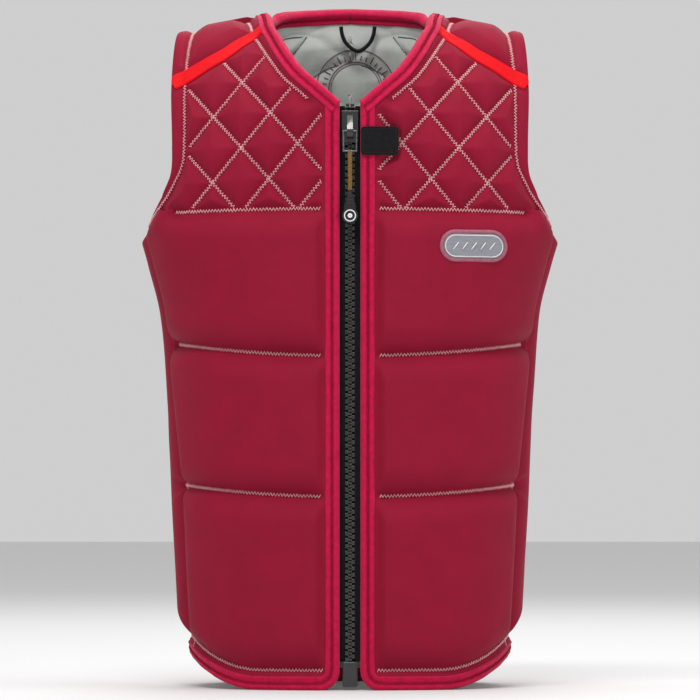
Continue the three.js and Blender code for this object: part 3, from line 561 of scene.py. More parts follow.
def quilt_runs():
    """The quilted yoke's crossing lines, each an array of (across, up) points inside the yoke."""
    runs = []
    for step, other, count in ((QUILT_DOWN_IN, QUILT_DOWN_OUT, 3), (QUILT_DOWN_OUT, QUILT_DOWN_IN, 4)):
        for k in range(count):
            t = np.linspace(-3, 5, 400)[:, None]
            pts = QUILT_NODE + k * other + t * step
            x, z = pts[:, 0], pts[:, 1]
            inside = ((z > YOKE_LINE + 1) & (x > np.where(z < 508, 25, neck_edge_at(z + 4) + 11))
                      & (x < arm_edge_at(z) - 13) & (z < tape_height(x) - 8))
            if inside.sum() > 8:
                runs.append(pts[inside])
    return runs


def offset_run(sheet, edge_u, v_from, v_to, inset, count=160):
    """Shares (u, v) that lie inset millimetres inside a side edge of the sheet."""
    out = []
    for v in np.linspace(v_from, v_to, count):
        us = np.linspace(0, 0.4, 60) if edge_u == 0 else np.linspace(1, 0.6, 60)
        p = sheet.at(sheet.point, us, np.full(60, v))
        run = distances(p)
        out.append((float(np.interp(inset, run, us)), v))
    return np.array(out)


def hem_run(sheet, u_from, u_to, inset, count=120):
    """Shares that lie inset millimetres above the hem."""
    out = []
    for u in np.linspace(u_from, u_to, count):
        vs = np.linspace(0, 0.12, 50)
        p = sheet.at(sheet.point, np.full(50, u), vs)
        run = distances(p)
        out.append((u, float(np.interp(inset, run, vs))))
    return np.array(out)


def side_seam():
    """Chart points of the seam between a front half and its side gusset."""
    z = np.linspace(float(hem_height(np.array(77.0))) + 2, 400, 150)
    return 76 + 8 * smooth((z - 170) / 140), z


def front_seams(sheet):
    """Every sewn line of a front half, as shares (u, v): deep block lines and shallow quilting."""
    block, quilt = [], []
    x = np.linspace(24, 176, 150)
    for rule in BLOCK_LINES:
        z = rule(x)
        keep = x < np.where(z > 410, arm_edge_at(z) - 10, through(WIDTHS, z) * 0.988)
        block.append(sheet.find(x[keep], z[keep]))
    side_run = sheet.locate(*side_seam())
    for run in quilt_runs():
        quilt.append(sheet.find(run[:, 0], run[:, 1]))
    neck_run = offset_run(sheet, 0, ZIP_SHARE + 0.012, 1.0, STITCH_INSET)
    arm_run = offset_run(sheet, 1, UNDER_SHARE - 0.06, 1.0, ARM_INSET)
    hem = hem_run(sheet, 0.02, 1.0, HEM_INSET)
    return {"block": block, "side": side_run, "quilt": quilt, "neck": neck_run,
            "arm": arm_run, "hem": hem}


def back_seams(sheet):
    """Every sewn line of the back, as shares."""
    block, quilt = [], []
    x = np.linspace(-176, 176, 260)
    for rule in BLOCK_LINES:
        z = rule(np.abs(x)) + 6
        keep = np.abs(x) < np.where(z > 410, arm_edge_at(z) - 10, through(WIDTHS, z) * 0.988)
        block.append(sheet.find(x[keep], z[keep]))
    for k in range(-4, 5):
        for sign in (1, -1):
            t = np.linspace(0, 1, 150)
            px = k * 51 + sign * 110 * t
            pz = YOKE_LINE + 6 + 118 * t
            keep = np.abs(px) < arm_edge_at(pz) - 15
            if keep.sum() > 12:
                quilt.append(sheet.find(px[keep], pz[keep]))
    top_x = np.linspace(-138, 138, 200)
    quilt.append(sheet.find(top_x, np.full(200, YOKE_LINE + 124.0)))
    arms = [offset_run(sheet, 0, UNDER_SHARE - 0.06, 1.0, ARM_INSET),
            offset_run(sheet, 1, UNDER_SHARE - 0.06, 1.0, ARM_INSET)]
    hem = hem_run(sheet, 0.0, 1.0, HEM_INSET, 240)
    corner = SHOULDER_SHARE / 2
    neck = []
    for u in np.linspace(corner + 0.02, 1 - corner - 0.02, 160):
        vs = np.linspace(1, 0.85, 50)
        p = sheet.at(sheet.point, np.full(50, u), vs)
        run = distances(p)
        neck.append((u, float(np.interp(STITCH_INSET, run, vs))))
    seam_across, seam_up = side_seam()
    sides = [sheet.locate(180 - seam_across, seam_up), sheet.locate(180 + seam_across, seam_up)]
    return {"block": block, "quilt": quilt, "arm": arms, "hem": hem, "neck": np.array(neck),
            "sides": sides}


def distance_to(sheet, runs, spacing=2.0):
    """Distance, in millimetres, of every grid point from a set of share runs."""
    samples = []
    for run in runs:
        p = sheet.at(sheet.point, run[:, 0], run[:, 1])
        length = distances(p)
        s = np.arange(0, length[-1], spacing)
        samples.append(np.stack([np.interp(s, length, p[:, k]) for k in range(3)], -1))
    samples = np.concatenate(samples)
    tree = kdtree.KDTree(len(samples))
    for k, p in enumerate(samples):
        tree.insert(p, k)
    tree.balance()
    flat = sheet.point.reshape(-1, 3)
    return np.array([tree.find(p)[2] for p in flat]).reshape(sheet.point.shape[:2])


def edge_runs(names):
    """Edges of a sheet, by name, as share runs."""
    runs = []
    t = np.linspace(0, 1, 400)
    for name in names:
        if name == "zip":
            runs.append(np.stack([0 * t, t], -1))
        elif name == "arm":
            runs.append(np.stack([0 * t + 1, UNDER_SHARE + (1 - UNDER_SHARE) * t], -1))
            runs.append(np.stack([0 * t + 1, SIDE_SHARE + (UNDER_SHARE - SIDE_SHARE) * t], -1))
        elif name == "arm_other":
            runs.append(np.stack([0 * t, SIDE_SHARE + (1 - SIDE_SHARE) * t], -1))
        elif name == "hem":
            runs.append(np.stack([t, 0 * t], -1))
        elif name == "neck_back":
            corner = SHOULDER_SHARE / 2
            runs.append(np.stack([corner + (1 - 2 * corner) * t, 0 * t + 1], -1))
    return runs


# ---------------------------------------------------------------- puffed surfaces
BLOCK_RISE, QUILT_RISE = 12.5, 7.0
SEAM_DIP = 4.5
STITCH_FLAT = 2.4                # half width of the flat strip that a zigzag lies on


def dome(distance, reach, power=2.2):
    """Rises from 0 at a seam to 1 at reach; steep at the seam, flat on the crown."""
    left = 1 - np.clip(distance / reach, 0, 1)
    return 0.45 * np.sqrt(1 - left**2) + 0.55 * (1 - left**power)


def ripple(sheet, amount):
    """Slow unevenness of soft foam under cloth, and fine puckers."""
    u, v = np.meshgrid(sheet.us, sheet.vs)
    total = np.zeros_like(u)
    for _ in range(14):
        a, b = rng.uniform(-14, 14, 2)
        total += math.cos(rng.uniform(0, 6.28)) * np.sin(a * u * 2 + b * v * 3 + rng.uniform(0, 6.28))
    return amount * total / 3


def puff(sheet, seams, edges):
    """Height of the padded outer face over the skin, in millimetres."""
    d_block = distance_to(sheet, seams["deep"])
    d_quilt = distance_to(sheet, seams["shallow"])
    if seams["tape"]:
        d_quilt = np.minimum(d_quilt, np.maximum(distance_to(sheet, seams["tape"]) - 6.5, 0))
    d_edge = distance_to(sheet, edge_runs(edges))
    d_block = np.maximum(d_block - STITCH_FLAT, 0)
    d_quilt = np.maximum(d_quilt - STITCH_FLAT, 0)
    height = BLOCK_RISE * dome(d_block, 24, 2.4)
    quilted = sheet.point[..., 2] > YOKE_LINE
    lift = np.where(quilted, QUILT_RISE * dome(np.minimum(d_quilt, d_block), 19, 2.0),
                    height * (0.35 + 0.65 * dome(d_quilt, 16)))
    lift = np.minimum(lift, np.where(quilted, QUILT_RISE * dome(d_edge + 1.5, 30, 2.0),
                                      BLOCK_RISE * dome(d_edge + 1.5, 22, 2.0)) + SEAM_DIP * 0.3)
    pucker = np.exp(-np.minimum(d_block, d_quilt) / 7)
    wrinkle = ripple(sheet, 0.35) * (1 - pucker * 0.5)
    rise = lift - SEAM_DIP + wrinkle
    edge_fall = smooth(d_edge / 12)
    return np.where(edge_fall < 1, -EDGE_OUT * (1 - edge_fall) + rise * edge_fall, rise), d_edge


def panel_mesh(name, outer, inner, material, bulge):
    """A closed body between two grids, with rounded rims."""
    nv, nu = outer.shape[:2]
    verts = [outer.reshape(-1, 3), inner.reshape(-1, 3)]
    faces = []
    idx = np.arange(nv * nu).reshape(nv, nu)
    low = idx[:-1, :-1].ravel(), idx[:-1, 1:].ravel(), idx[1:, 1:].ravel(), idx[1:, :-1].ravel()
    faces += list(zip(*low))
    off = nv * nu
    faces += [(d + off, c + off, b + off, a + off) for a, b, c, d in zip(*low)]
    rim = np.r_[idx[0, :], idx[1:, -1], idx[-1, -2::-1], idx[-2:0:-1, 0]]
    top, bottom = outer.reshape(-1, 3)[rim], inner.reshape(-1, 3)[rim]
    out = bulge.reshape(-1, 3)[rim]
    base = 2 * off
    rows = [rim]
    for share, swell in ((0.2, 0.75), (0.5, 1.0), (0.8, 0.75)):
        verts.append(top * (1 - share) + bottom * share + out * swell)
        rows.append(np.arange(len(rim)) + base)
        base += len(rim)
    rows.append(rim + off)
    for a, b in zip(rows[:-1], rows[1:]):
        an, bn = np.roll(a, -1), np.roll(b, -1)
        faces += [(int(p), int(s), int(r), int(q)) for p, q, r, s in zip(a, an, bn, b)]
    return make_mesh(name, np.concatenate(verts), faces, material)


def make_mesh(name, verts, faces, material):
    """A mesh object from millimetres, with its faces turned out."""
    mesh = bpy.data.meshes.new(name)
    mesh.from_pydata((np.asarray(verts) * MM).tolist(), [], [tuple(int(i) for i in f) for f in faces])
    mesh.update()
    bm = bmesh.new()
    bm.from_mesh(mesh)
    bmesh.ops.recalc_face_normals(bm, faces=bm.faces)
    bm.to_mesh(mesh)
    bm.free()
    mesh.polygons.foreach_set("use_smooth", [True] * len(mesh.polygons))
    mesh.materials.append(material)
    obj = bpy.data.objects.new(name, mesh)
    bpy.context.scene.collection.objects.link(obj)
    return obj


def rim_bulge(sheet, amount, sides):
    """How far each rim point stands out past the edge, away from the sheet."""
    out = np.zeros_like(sheet.point)
    def away(inner, outer_):
        d = outer_ - inner
        return d / np.linalg.norm(d, axis=-1, keepdims=True)
    if "right" in sides:
        out[:, -1] = away(sheet.point[:, -3], sheet.point[:, -1]) * amount
    if "left" in sides:
        out[:, 0] = away(sheet.point[:, 2], sheet.point[:, 0]) * amount
    return out


# ---------------------------------------------------------------- threads, bands, ribbons
class Tubes:
    """Many thin tubes along polylines, gathered into one mesh."""

    def __init__(self):
        self.verts, self.faces, self.count = [], [], 0

    def add(self, points, normals, radius, sides=4):
        points = np.asarray(points, float)
        if len(points) < 2:
            return
        tangent = np.gradient(points, axis=0)
        tangent /= np.linalg.norm(tangent, axis=1, keepdims=True) + 1e-9
        side = np.cross(tangent, normals)
        side /= np.linalg.norm(side, axis=1, keepdims=True) + 1e-9
        over = np.cross(side, tangent)
        n = len(points)
        for k in range(sides):
            a = 2 * math.pi * (k + 0.5) / sides
            self.verts.append(points + radius * (math.cos(a) * side + math.sin(a) * over))
        base = self.count
        for k in range(sides):
            a, b = base + k * n, base + ((k + 1) % sides) * n
            self.faces += [(a + i, a + i + 1, b + i + 1, b + i) for i in range(n - 1)]
        self.faces.append(tuple(base + k * n for k in range(sides)))
        self.faces.append(tuple(base + k * n + n - 1 for k in reversed(range(sides))))
        self.count += sides * n

    def mesh(self, name, material):
        return make_mesh(name, np.concatenate(self.verts), self.faces, material)


def even(points, step):
    """Evenly spaced distances along a line, and the distance of each of its points."""
    length = distances(points)
    count = max(int(length[-1] / step), 2)
    s = np.linspace(0, length[-1], count)
    return s, length


def zigzag(tubes, points, normals, half_width=1.5, pitch=2.9, radius=0.42, lift=0.35):
    """Zigzag stitches along a line that lies on a surface."""
    points, normals = relax(clean(points, 4.0), 2), clean_with(points, normals, 4.0)
    s, length = even(points, pitch / 2)
    p = np.stack([np.interp(s, length, points[:, k]) for k in range(3)], -1)
    n = np.stack([np.interp(s, length, normals[:, k]) for k in range(3)], -1)
    n /= np.linalg.norm(n, axis=1, keepdims=True)
    t = np.gradient(p, axis=0)
    side = np.cross(t, n)
    side /= np.linalg.norm(side, axis=1, keepdims=True) + 1e-9
    swing = np.where(np.arange(len(s)) % 2 == 0, 1.0, -1.0)[:, None] * half_width
    corners = p + side * swing * (1 + 0.12 * np.sin(np.arange(len(s)) * 2.4))[:, None] + n * lift * 0.5
    middles = (corners[:-1] + corners[1:]) / 2 + n[:-1] * lift
    line_ = np.empty((2 * len(corners) - 1, 3))
    line_[0::2], line_[1::2] = corners, middles
    line_n = np.empty_like(line_)
    line_n[0::2], line_n[1::2] = n, n[:-1]
    tubes.add(line_, line_n, radius)


def surface_line(sheet, face, run):
    """Points and normals on a displaced face along shares (u, v)."""
    p = sheet.at(face, run[:, 0], run[:, 1])
    n = sheet.at(sheet.normal, run[:, 0], run[:, 1])
    return p, n / np.linalg.norm(n, axis=1, keepdims=True)


def sweep(name, points, normals, away, profile, material):
    """A closed section carried along a line: profile is (out, up) pairs."""
    t = np.gradient(points, axis=0)
    side = np.cross(t, normals)
    side /= np.linalg.norm(side, axis=1, keepdims=True)
    side *= np.sign(np.sum(side * away, axis=1, keepdims=True))
    n, m = len(points), len(profile)
    verts = np.concatenate([points + side * o + normals * h for o, h in profile])
    faces = []
    for k in range(m):
        a, b = k * n, ((k + 1) % m) * n
        faces += [(a + i, a + i + 1, b + i + 1, b + i) for i in range(n - 1)]
    faces.append(tuple(k * n for k in range(m)))
    faces.append(tuple(k * n + n - 1 for k in reversed(range(m))))
    obj = make_mesh(name, verts, faces, material)
    return obj, side


def binding_profile(width, half=BIND_HALF):
    """Folded tape: a lip over the panel, a sunk stitched middle and a rounded fold."""
    top = [(-2.8, half - 0.9), (-2.4, half + 0.1), (-1.4, half + 0.45), (-0.4, half + 0.1),
           (0.6, half - 0.35), (width * 0.5, half - 0.45), (width * 0.68, half - 0.2),
           (width * 0.82, half - 0.15), (width * 0.95, half - 1.2), (width + 0.6, half - 2.9),
           (width + 0.9, 0)]
    return top + [(o, -h) for o, h in reversed(top[:-1])]


def clean(points, step=2.0):
    s, length = even(points, step)
    return np.stack([np.interp(s, length, points[:, k]) for k in range(3)], -1)


def clean_with(points, values, step):
    """Values carried along to where clean() puts the points."""
    s, length = even(points, step)
    return np.stack([np.interp(s, length, values[:, k]) for k in range(3)], -1)


def relax(points, rounds=3):
    """Evens out a line, with its ends held."""
    p = points.copy()
    for _ in range(rounds):
        p[1:-1] = (p[:-2] + 2 * p[1:-1] + p[2:]) / 4
    return p


def edge_line(sheet, run, depth=(EDGE_OUT + EDGE_IN) / 2):
    """The middle of a panel edge, with its normal and the direction out of the panel."""
    p = sheet.at(sheet.point, run[:, 0], run[:, 1])
    n = sheet.at(sheet.normal, run[:, 0], run[:, 1])
    n /= np.linalg.norm(n, axis=1, keepdims=True)
    return p - n * depth, n


def bind(name, points, normals, away, width, material, stitches, rows=((3.2, 1.5),), lift=0.0):
    """A binding along an edge line, with its tone-on-tone stitches."""
    prof = [(o, h + (lift if h > 0 else -lift)) for o, h in binding_profile(width)]
    s, length = even(points, 2.2)
    p = np.stack([np.interp(s, length, points[:, k]) for k in range(3)], -1)
    n = np.stack([np.interp(s, length, normals[:, k]) for k in range(3)], -1)
    a = np.stack([np.interp(s, length, away[:, k]) for k in range(3)], -1)
    n /= np.linalg.norm(n, axis=1, keepdims=True)
    wobble = 0.22 * np.sin(s / 9.0) + 0.15 * np.sin(s / 3.7 + 1)
    p = p + n * wobble[:, None]
    obj, side = sweep(name, p, n, a, prof, material)
    for out, half in rows:
        zigzag(stitches, p + side * out + n * (BIND_HALF - 0.35 + lift), n, half, 2.4, 0.34, 0.3)
        zigzag(stitches, p + side * out - n * (BIND_HALF - 0.35 + lift), -n, half, 2.4, 0.34, 0.3)
    return obj


# ---------------------------------------------------------------- front halves
def front_half(word, side, mats):
    """Padded half with its liner, stitches, shoulder tape and bindings."""
    sheet = front_sheet(side)
    seams = front_seams(sheet)
    tape_x = np.linspace(66, 160, 90)
    tape_run = sheet.find(tape_x, tape_height(tape_x))
    seams["deep"] = seams["block"] + [seams["hem"], seams["side"]]
    seams["shallow"] = seams["quilt"] + [seams["neck"], seams["arm"]]
    seams["tape"] = [tape_run]
    rise, d_edge = puff(sheet, seams, ["zip", "arm", "hem"])
    above = sheet.point[..., 2] > tape_height(np.abs(sheet.point[..., 0])) + 4
    rise = np.where(above & (rise > 1.5), 1.5 + (rise - 1.5) * 0.3, rise)
    sheet.outer = sheet.point + sheet.normal * rise[..., None]
    behind = sheet.point - sheet.normal * SHELL_DEPTH
    shell = panel_mesh(f"padded_half_{word}", sheet.outer, behind, mats["neoprene"],
                       rim_bulge(sheet, 2.2, ["right"]))
    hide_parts(f"front_shell_{word}", f"side_gusset_{word}", f"shoulder_yoke_{word}",
                *[f"front_foam_{p}_{word}" for p in ("hip", "waist", "chest", "yoke")])
    soft(shell)
    liner = front_liner(word, sheet, d_edge, mats)
    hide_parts(f"front_liner_{word}")
    soft(liner)
    threads = Tubes()
    for run in seams["quilt"] + [seams["side"], seams["neck"], seams["arm"], seams["hem"]]:
        zigzag(threads, *surface_line(sheet, sheet.outer, run))
    for run in seams["block"]:
        zigzag(threads, *surface_line(sheet, sheet.outer, run[2:]))
    soft(threads.mesh(f"seam_stitches_{word}", mats["thread"]))
    tape = ribbon(f"shoulder_tape_look_{word}", sheet, tape_run, TAPE_WIDTH, mats["red_tape"])
    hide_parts(f"shoulder_tape_{word}")
    soft(tape)
    front_bindings(word, side, sheet, mats)


def soft(obj):
    """Bakes a front half's piece into world space; the piece is not parented to any body."""
    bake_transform(obj)


def front_liner(word, sheet, d_edge, mats):
    """Inner knit, quilted in plain diamonds."""
    sheet.inside = quilted_inside(sheet, d_edge, 0.0)
    liner = panel_mesh(f"liner_half_{word}", sheet.point - sheet.normal * LINER_DEPTH, sheet.inside,
                       mats["liner"], 0 * sheet.point)
    soft(liner_stitches(f"liner_stitches_{word}", sheet, 0.0, mats))
    return liner


LINER_GIRTH = 2.6          # millimetres round the body in a degree across
LINER_DIAMOND = 52.0


def liner_charts(sheet, centre):
    """The two diagonal counts whose whole numbers are the liner's sewn lines."""
    girth = np.abs(sheet.across - centre) * LINER_GIRTH
    return (girth + sheet.up) / LINER_DIAMOND, (girth - sheet.up) / LINER_DIAMOND


def quilted_inside(sheet, d_edge, centre):
    """The liner's inner face, puffed in diamonds."""
    rising, falling = liner_charts(sheet, centre)
    off = np.minimum(np.abs(rising - np.round(rising)), np.abs(falling - np.round(falling)))
    depth = (EDGE_IN + (PAD - EDGE_IN) * smooth(d_edge / 24)
             + (3.2 * dome(off * 36, 15) - 2.2) * smooth(d_edge / 14))
    return sheet.point - sheet.normal * depth[..., None]


def liner_stitches(name, sheet, centre, mats):
    """Zigzags along every sewn line of a liner."""
    stitches = Tubes()
    for field in liner_charts(sheet, centre):
        for half in (sheet.across < centre, sheet.across >= centre):
            for run in level_runs(sheet, field, half):
                p, n = surface_line(sheet, sheet.inside, run)
                zigzag(stitches, p, -n, 0.5, 2.6, 0.4, 0.3)
    return stitches.mesh(name, mats["liner_stitch"])


def level_runs(sheet, field, half):
    """Lines along which a field is a whole number, inside one half of the sheet, as shares."""
    runs = []
    for level in range(int(field.min()) - 1, int(field.max()) + 2):
        pts = []
        for j in range(0, len(sheet.vs), 2):
            row, shares = field[j][half[j]], sheet.us[half[j]]
            if len(row) > 2 and row.min() < level < row.max():
                order = np.argsort(row)
                pts.append((float(np.interp(level, row[order], shares[order])), sheet.vs[j]))
        pts = [q for q in pts if 0.03 < q[0] < 0.97 and 0.03 < q[1] < 0.975]
        if len(pts) > 8:
            runs.append(np.array(pts))
    return runs


def ribbon(name, sheet, run, width, material, lift=1.3):
    """A flat tape that lies along a line of a displaced sheet."""
    p, n = surface_line(sheet, sheet.outer, run)
    p, n = relax(p, 4), relax(n, 4)
    tree = BVHTree.FromPolygons(*grid_polygons(sheet.outer))
    t = np.gradient(p, axis=0)
    side = np.cross(t, n)
    side /= np.linalg.norm(side, axis=1, keepdims=True)
    offsets = np.linspace(-0.5, 0.5, 9) * width
    rows = []
    for o in offsets:
        rail = []
        for q, m, s in zip(p, n, side):
            hit = tree.find_nearest(Vector(q + s * o + m * 2))
            rail.append(np.array(hit[0]))
        rail = relax(np.array(rail), 3)
        edge = abs(o) / width * 2
        ridge = 0.35 * math.exp(-((edge - 0.8) / 0.12) ** 2)
        rows.append((rail, lift + ridge - 0.25 * (edge > 0.99)))
    top = [rail + n * h for rail, h in rows]
    bottom = [rail - n * 1.2 for rail, _ in rows]
    loop = top + bottom[::-1]
    count, m = len(p), len(loop)
    faces = []
    for k in range(m):
        a, b = k * count, ((k + 1) % m) * count
        faces += [(a + i, a + i + 1, b + i + 1, b + i) for i in range(count - 1)]
    faces.append(tuple(k * count for k in range(m)))
    faces.append(tuple(k * count + count - 1 for k in reversed(range(m))))
    return make_mesh(name, np.concatenate(loop), faces, material)


def grid_polygons(grid):
    """Corners and quads of a grid, for a search tree."""
    nv, nu = grid.shape[:2]
    idx = np.arange(nv * nu).reshape(nv, nu)
    quads = np.stack([idx[:-1, :-1], idx[:-1, 1:], idx[1:, 1:], idx[1:, :-1]], -1).reshape(-1, 4)
    return [tuple(p) for p in grid.reshape(-1, 3)], [tuple(int(i) for i in q) for q in quads]


CORNER = 7.0


def front_bindings(word, side, sheet, mats):
    """Zipper and hem binding in one run round the corner, and the neck binding over its top."""
    depth = (EDGE_OUT + EDGE_IN) / 2
    stitches = Tubes()
    z = np.linspace(NECK_BASE + 2, HEM_EDGE + CORNER, 260)
    down = np.stack([np.full_like(z, ZIP_EDGE), z], -1)
    turn = np.linspace(math.pi, 1.5 * math.pi, 12)[1:]
    centre = np.array([ZIP_EDGE + CORNER, HEM_EDGE + CORNER])
    arc = centre + CORNER * np.stack([np.cos(turn), np.sin(turn)], -1)
    front = np.array([skin(*chart_of(x, h)) for x, h in np.concatenate([down, arc])])
    us = np.linspace(0, 1, 240)
    hem = sheet.at(sheet.point, us, 0 * us)
    hem_n = sheet.at(sheet.normal, us, 0 * us)
    front[:, 0] *= side
    keep = np.abs(hem[:, 0]) > ZIP_EDGE + CORNER + 0.5
    flat_n = np.tile([0.0, -1.0, 0.0], (len(front), 1))
    points = np.concatenate([front, hem[keep]])
    normals = np.concatenate([flat_n, hem_n[keep]])
    away = np.concatenate([np.tile([-side, 0, 0], (len(down), 1)),
                           np.tile([-side, 0, -1.0], (len(arc), 1)),
                           np.tile([0, 0, -1.0], (int(keep.sum()), 1))])
    points = points - normals * depth
    zip_piece = bind(f"zip_hem_binding_{word}", points, normals, away, BIND_WIDTH,
                     mats["binding"], stitches)
    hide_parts(f"zip_binding_{word}", f"hem_binding_front_{word}")
    soft(zip_piece)
    vs = np.linspace(ZIP_SHARE, 1.0, 140)
    neck, neck_n = edge_line(sheet, np.stack([0 * vs, vs], -1), depth)
    lead = neck[0] + np.outer(np.linspace(1, 0.1, 5), [-5.5 * side, -0.4, -4.2])
    neck = relax(np.concatenate([lead, neck]), 3)
    neck_n = np.concatenate([np.tile(neck_n[0], (5, 1)), neck_n])
    away = np.tile([-side * 0.6, 0, 0.8], (len(neck), 1))
    neck_piece = bind(f"neck_binding_look_{word}", neck, neck_n, away, NECK_BIND_WIDTH,
                      mats["binding"], stitches, lift=0.5)
    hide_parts(f"neck_binding_front_{word}")
    soft(neck_piece)
    soft(stitches.mesh(f"binding_stitches_{word}", mats["binding_stitch"]))


# ---------------------------------------------------------------- back
def back_panel(mats):
    """Padded back with its liner, stitches and bindings."""
    sheet = back_sheet()
    seams = back_seams(sheet)
    seams["deep"] = seams["block"] + [seams["hem"]] + seams["sides"]
    seams["shallow"] = seams["quilt"] + seams["arm"] + [seams["neck"]]
    seams["tape"] = []
    rise, d_edge = puff(sheet, seams, ["hem", "neck_back", "arm_other", "arm"])
    above = sheet.point[..., 2] > YOKE_LINE + 128
    rise = np.where(above & (rise > 1.5), 1.5 + (rise - 1.5) * 0.3, rise)
    sheet.outer = sheet.point + sheet.normal * rise[..., None]
    shell = panel_mesh("padded_back", sheet.outer, sheet.point - sheet.normal * SHELL_DEPTH,
                       mats["neoprene"], rim_bulge(sheet, 2.2, ["left", "right"]))
    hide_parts("back_shell", "back_foam_hip", "back_foam_waist", "back_foam_chest",
                "back_foam_upper")
    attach(shell, "back")
    threads = Tubes()
    sewn = (seams["quilt"] + seams["block"] + [seams["hem"], seams["neck"]] + seams["arm"]
            + seams["sides"])
    for run in sewn:
        zigzag(threads, *surface_line(sheet, sheet.outer, run))
    ride(threads.mesh("seam_stitches_back", mats["thread"]), "back")
    back_liner(sheet, d_edge, mats)
    stitches = Tubes()
    us = np.linspace(0, 1, 420)
    hem, hem_n = edge_line(sheet, np.stack([us, 0 * us], -1))
    hem_piece = bind("hem_binding_look_back", hem, hem_n, np.tile([0, 0, -1.0], (len(hem), 1)),
                     BIND_WIDTH, mats["binding"], stitches)
    ride(hem_piece, "back")
    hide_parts("hem_binding_back")
    corner = SHOULDER_SHARE / 2
    us = np.linspace(corner, 1 - corner, 200)
    neck, neck_n = edge_line(sheet, np.stack([us, 0 * us + 1], -1))
    inward = np.stack([-neck[:, 0], -neck[:, 1] + 5, 0 * us + 20], -1)
    neck_piece = bind("neck_binding_look_back", neck, neck_n, inward, NECK_BIND_WIDTH,
                      mats["binding"], stitches, lift=0.5)
    ride(neck_piece, "back")
    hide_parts("neck_binding_back")
    ride(stitches.mesh("binding_stitches_back", mats["binding_stitch"]), "back")
    return sheet


def ride(obj, body):
    """A piece that moves as one with a body."""
    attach(obj, body)
    return obj


def back_liner(sheet, d_edge, mats):
    sheet.inside = quilted_inside(sheet, d_edge, 180.0)
    liner = panel_mesh("liner_back", sheet.point - sheet.normal * LINER_DEPTH, sheet.inside,
                       mats["liner"], 0 * sheet.point)
    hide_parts("back_liner")
    ride(liner, "back")
    ride(liner_stitches("liner_stitches_back", sheet, 180.0, mats), "back")
    print_ring(sheet, mats)


def print_ring(sheet, mats):
    """A plain ring mark inside the back: two circles with short ticks between them."""
    tree = BVHTree.FromPolygons(*grid_polygons(sheet.inside))
    centre = np.array([5.0, 530.0])
    ink = Tubes()

    def stroke(flat, radius):
        pts, nrm = [], []
        for x, z in flat:
            hit = tree.ray_cast(Vector((x, -60.0, z)), Vector((0, 1, 0)))
            if hit[0] is None:
                return
            pts.append(np.array(hit[0]) + np.array([0, -0.25, 0]))
            nrm.append([0, -1, 0])
        ink.add(pts, np.array(nrm, float), radius)

    turn = np.linspace(0, 2 * math.pi, 120)
    for radius, thick in ((35, 0.55), (24, 0.55), (22, 0.4)):
        stroke(centre + radius * np.stack([np.cos(turn), np.sin(turn)], -1), thick)
    for k in range(36):
        a = 2 * math.pi * k / 36
        d = np.array([math.cos(a), math.sin(a)])
        long = 33 if k % 3 == 0 else 30
        stroke(centre + np.outer(np.linspace(26, long, 5), d), 0.6)
    if ink.verts:
        ride(ink.mesh("liner_print_ring", mats["liner_print"]), "back")


# ---------------------------------------------------------------- zipper
def cad_size(node):
    """Low and high corners of a CAD node, in millimetres."""
    low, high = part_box(node)
    return np.array(low) * 1000, np.array(high) * 1000


def box_faces(x0, x1, y0, y1, z0, z1):
    """Corners and faces of a block, to be gathered into a larger mesh."""
    v = [(x, y, z) for x in (x0, x1) for y in (y0, y1) for z in (z0, z1)]
    f = [(0, 1, 3, 2), (4, 6, 7, 5), (0, 4, 5, 1), (2, 3, 7, 6), (0, 2, 6, 4), (1, 5, 7, 3)]
    return v, f


def finish_edges(obj, width, segments=2):
    """Rounds the edges of a hard piece and applies the result."""
    mod = obj.modifiers.new("round", "BEVEL")
    mod.width = width * MM
    mod.segments = segments
    mod.limit_method = "ANGLE"
    mod.angle_limit = math.radians(35)
    bpy.context.view_layer.objects.active = obj
    for other in bpy.context.selected_objects:
        other.select_set(False)
    obj.select_set(True)
    bpy.ops.object.modifier_apply(modifier="round")
    obj.data.polygons.foreach_set("use_smooth", [True] * len(obj.data.polygons))
    mod = obj.modifiers.new("flat", "WEIGHTED_NORMAL")
    bpy.ops.object.modifier_apply(modifier="flat")
    return obj


def chain_half(word, side, mats):
    """Moulded teeth on a corded tape edge: each a wide foot with a narrower head past the middle."""
    low, high = cad_size(f"zip_chain_{word}")
    y0, y1 = low[1], high[1]
    verts, faces = [], []
    z = low[2] + 0.3 + (CHAIN_PITCH / 2 if side > 0 else 0)
    while z + 2.9 < high[2]:
        for x0, x1, half, thin in ((1.4, 4.3, 1.75, 0.0), (-1.2, 1.7, 0.8, 0.3)):
            mid = z + 1.2
            v, f = box_faces(side * x0, side * x1, y0 + thin, y1 - thin, mid - half, mid + half)
            faces += [tuple(i + len(verts) for i in q) for q in f]
            verts += v
        v, f = box_faces(side * -1.9, side * -0.3, y0 - 0.1, y1, z + 1.2 - 1.25,
                         z + 1.2 + 1.25)
        faces += [tuple(i + len(verts) for i in q) for q in f]
        verts += v
        z += CHAIN_PITCH
    teeth = make_mesh(f"teeth_{word}", verts, faces, mats["zip_plastic"])
    finish_edges(teeth, 0.34, 2)
    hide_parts(f"zip_chain_{word}")
    ride(teeth, f"front_{word}")
    cord = Tubes()
    zz = np.linspace(low[2], high[2], 120)
    middle = (y0 + y1) / 2
    pts = np.stack([np.full_like(zz, side * 4.4), np.full_like(zz, middle), zz], -1)
    cord.add(pts, np.tile([0, -1.0, 0], (len(zz), 1)), 1.15, 10)
    for x in np.arange(0.45, 4.4, 0.8):
        back = np.stack([np.full_like(zz, side * x), np.full_like(zz, y1 + 0.5), zz], -1)
        cord.add(back, np.tile([0, -1.0, 0], (len(zz), 1)), 0.48, 6)
    ride(cord.mesh(f"tape_edge_cord_{word}", mats["zip_cloth"]), f"front_{word}")


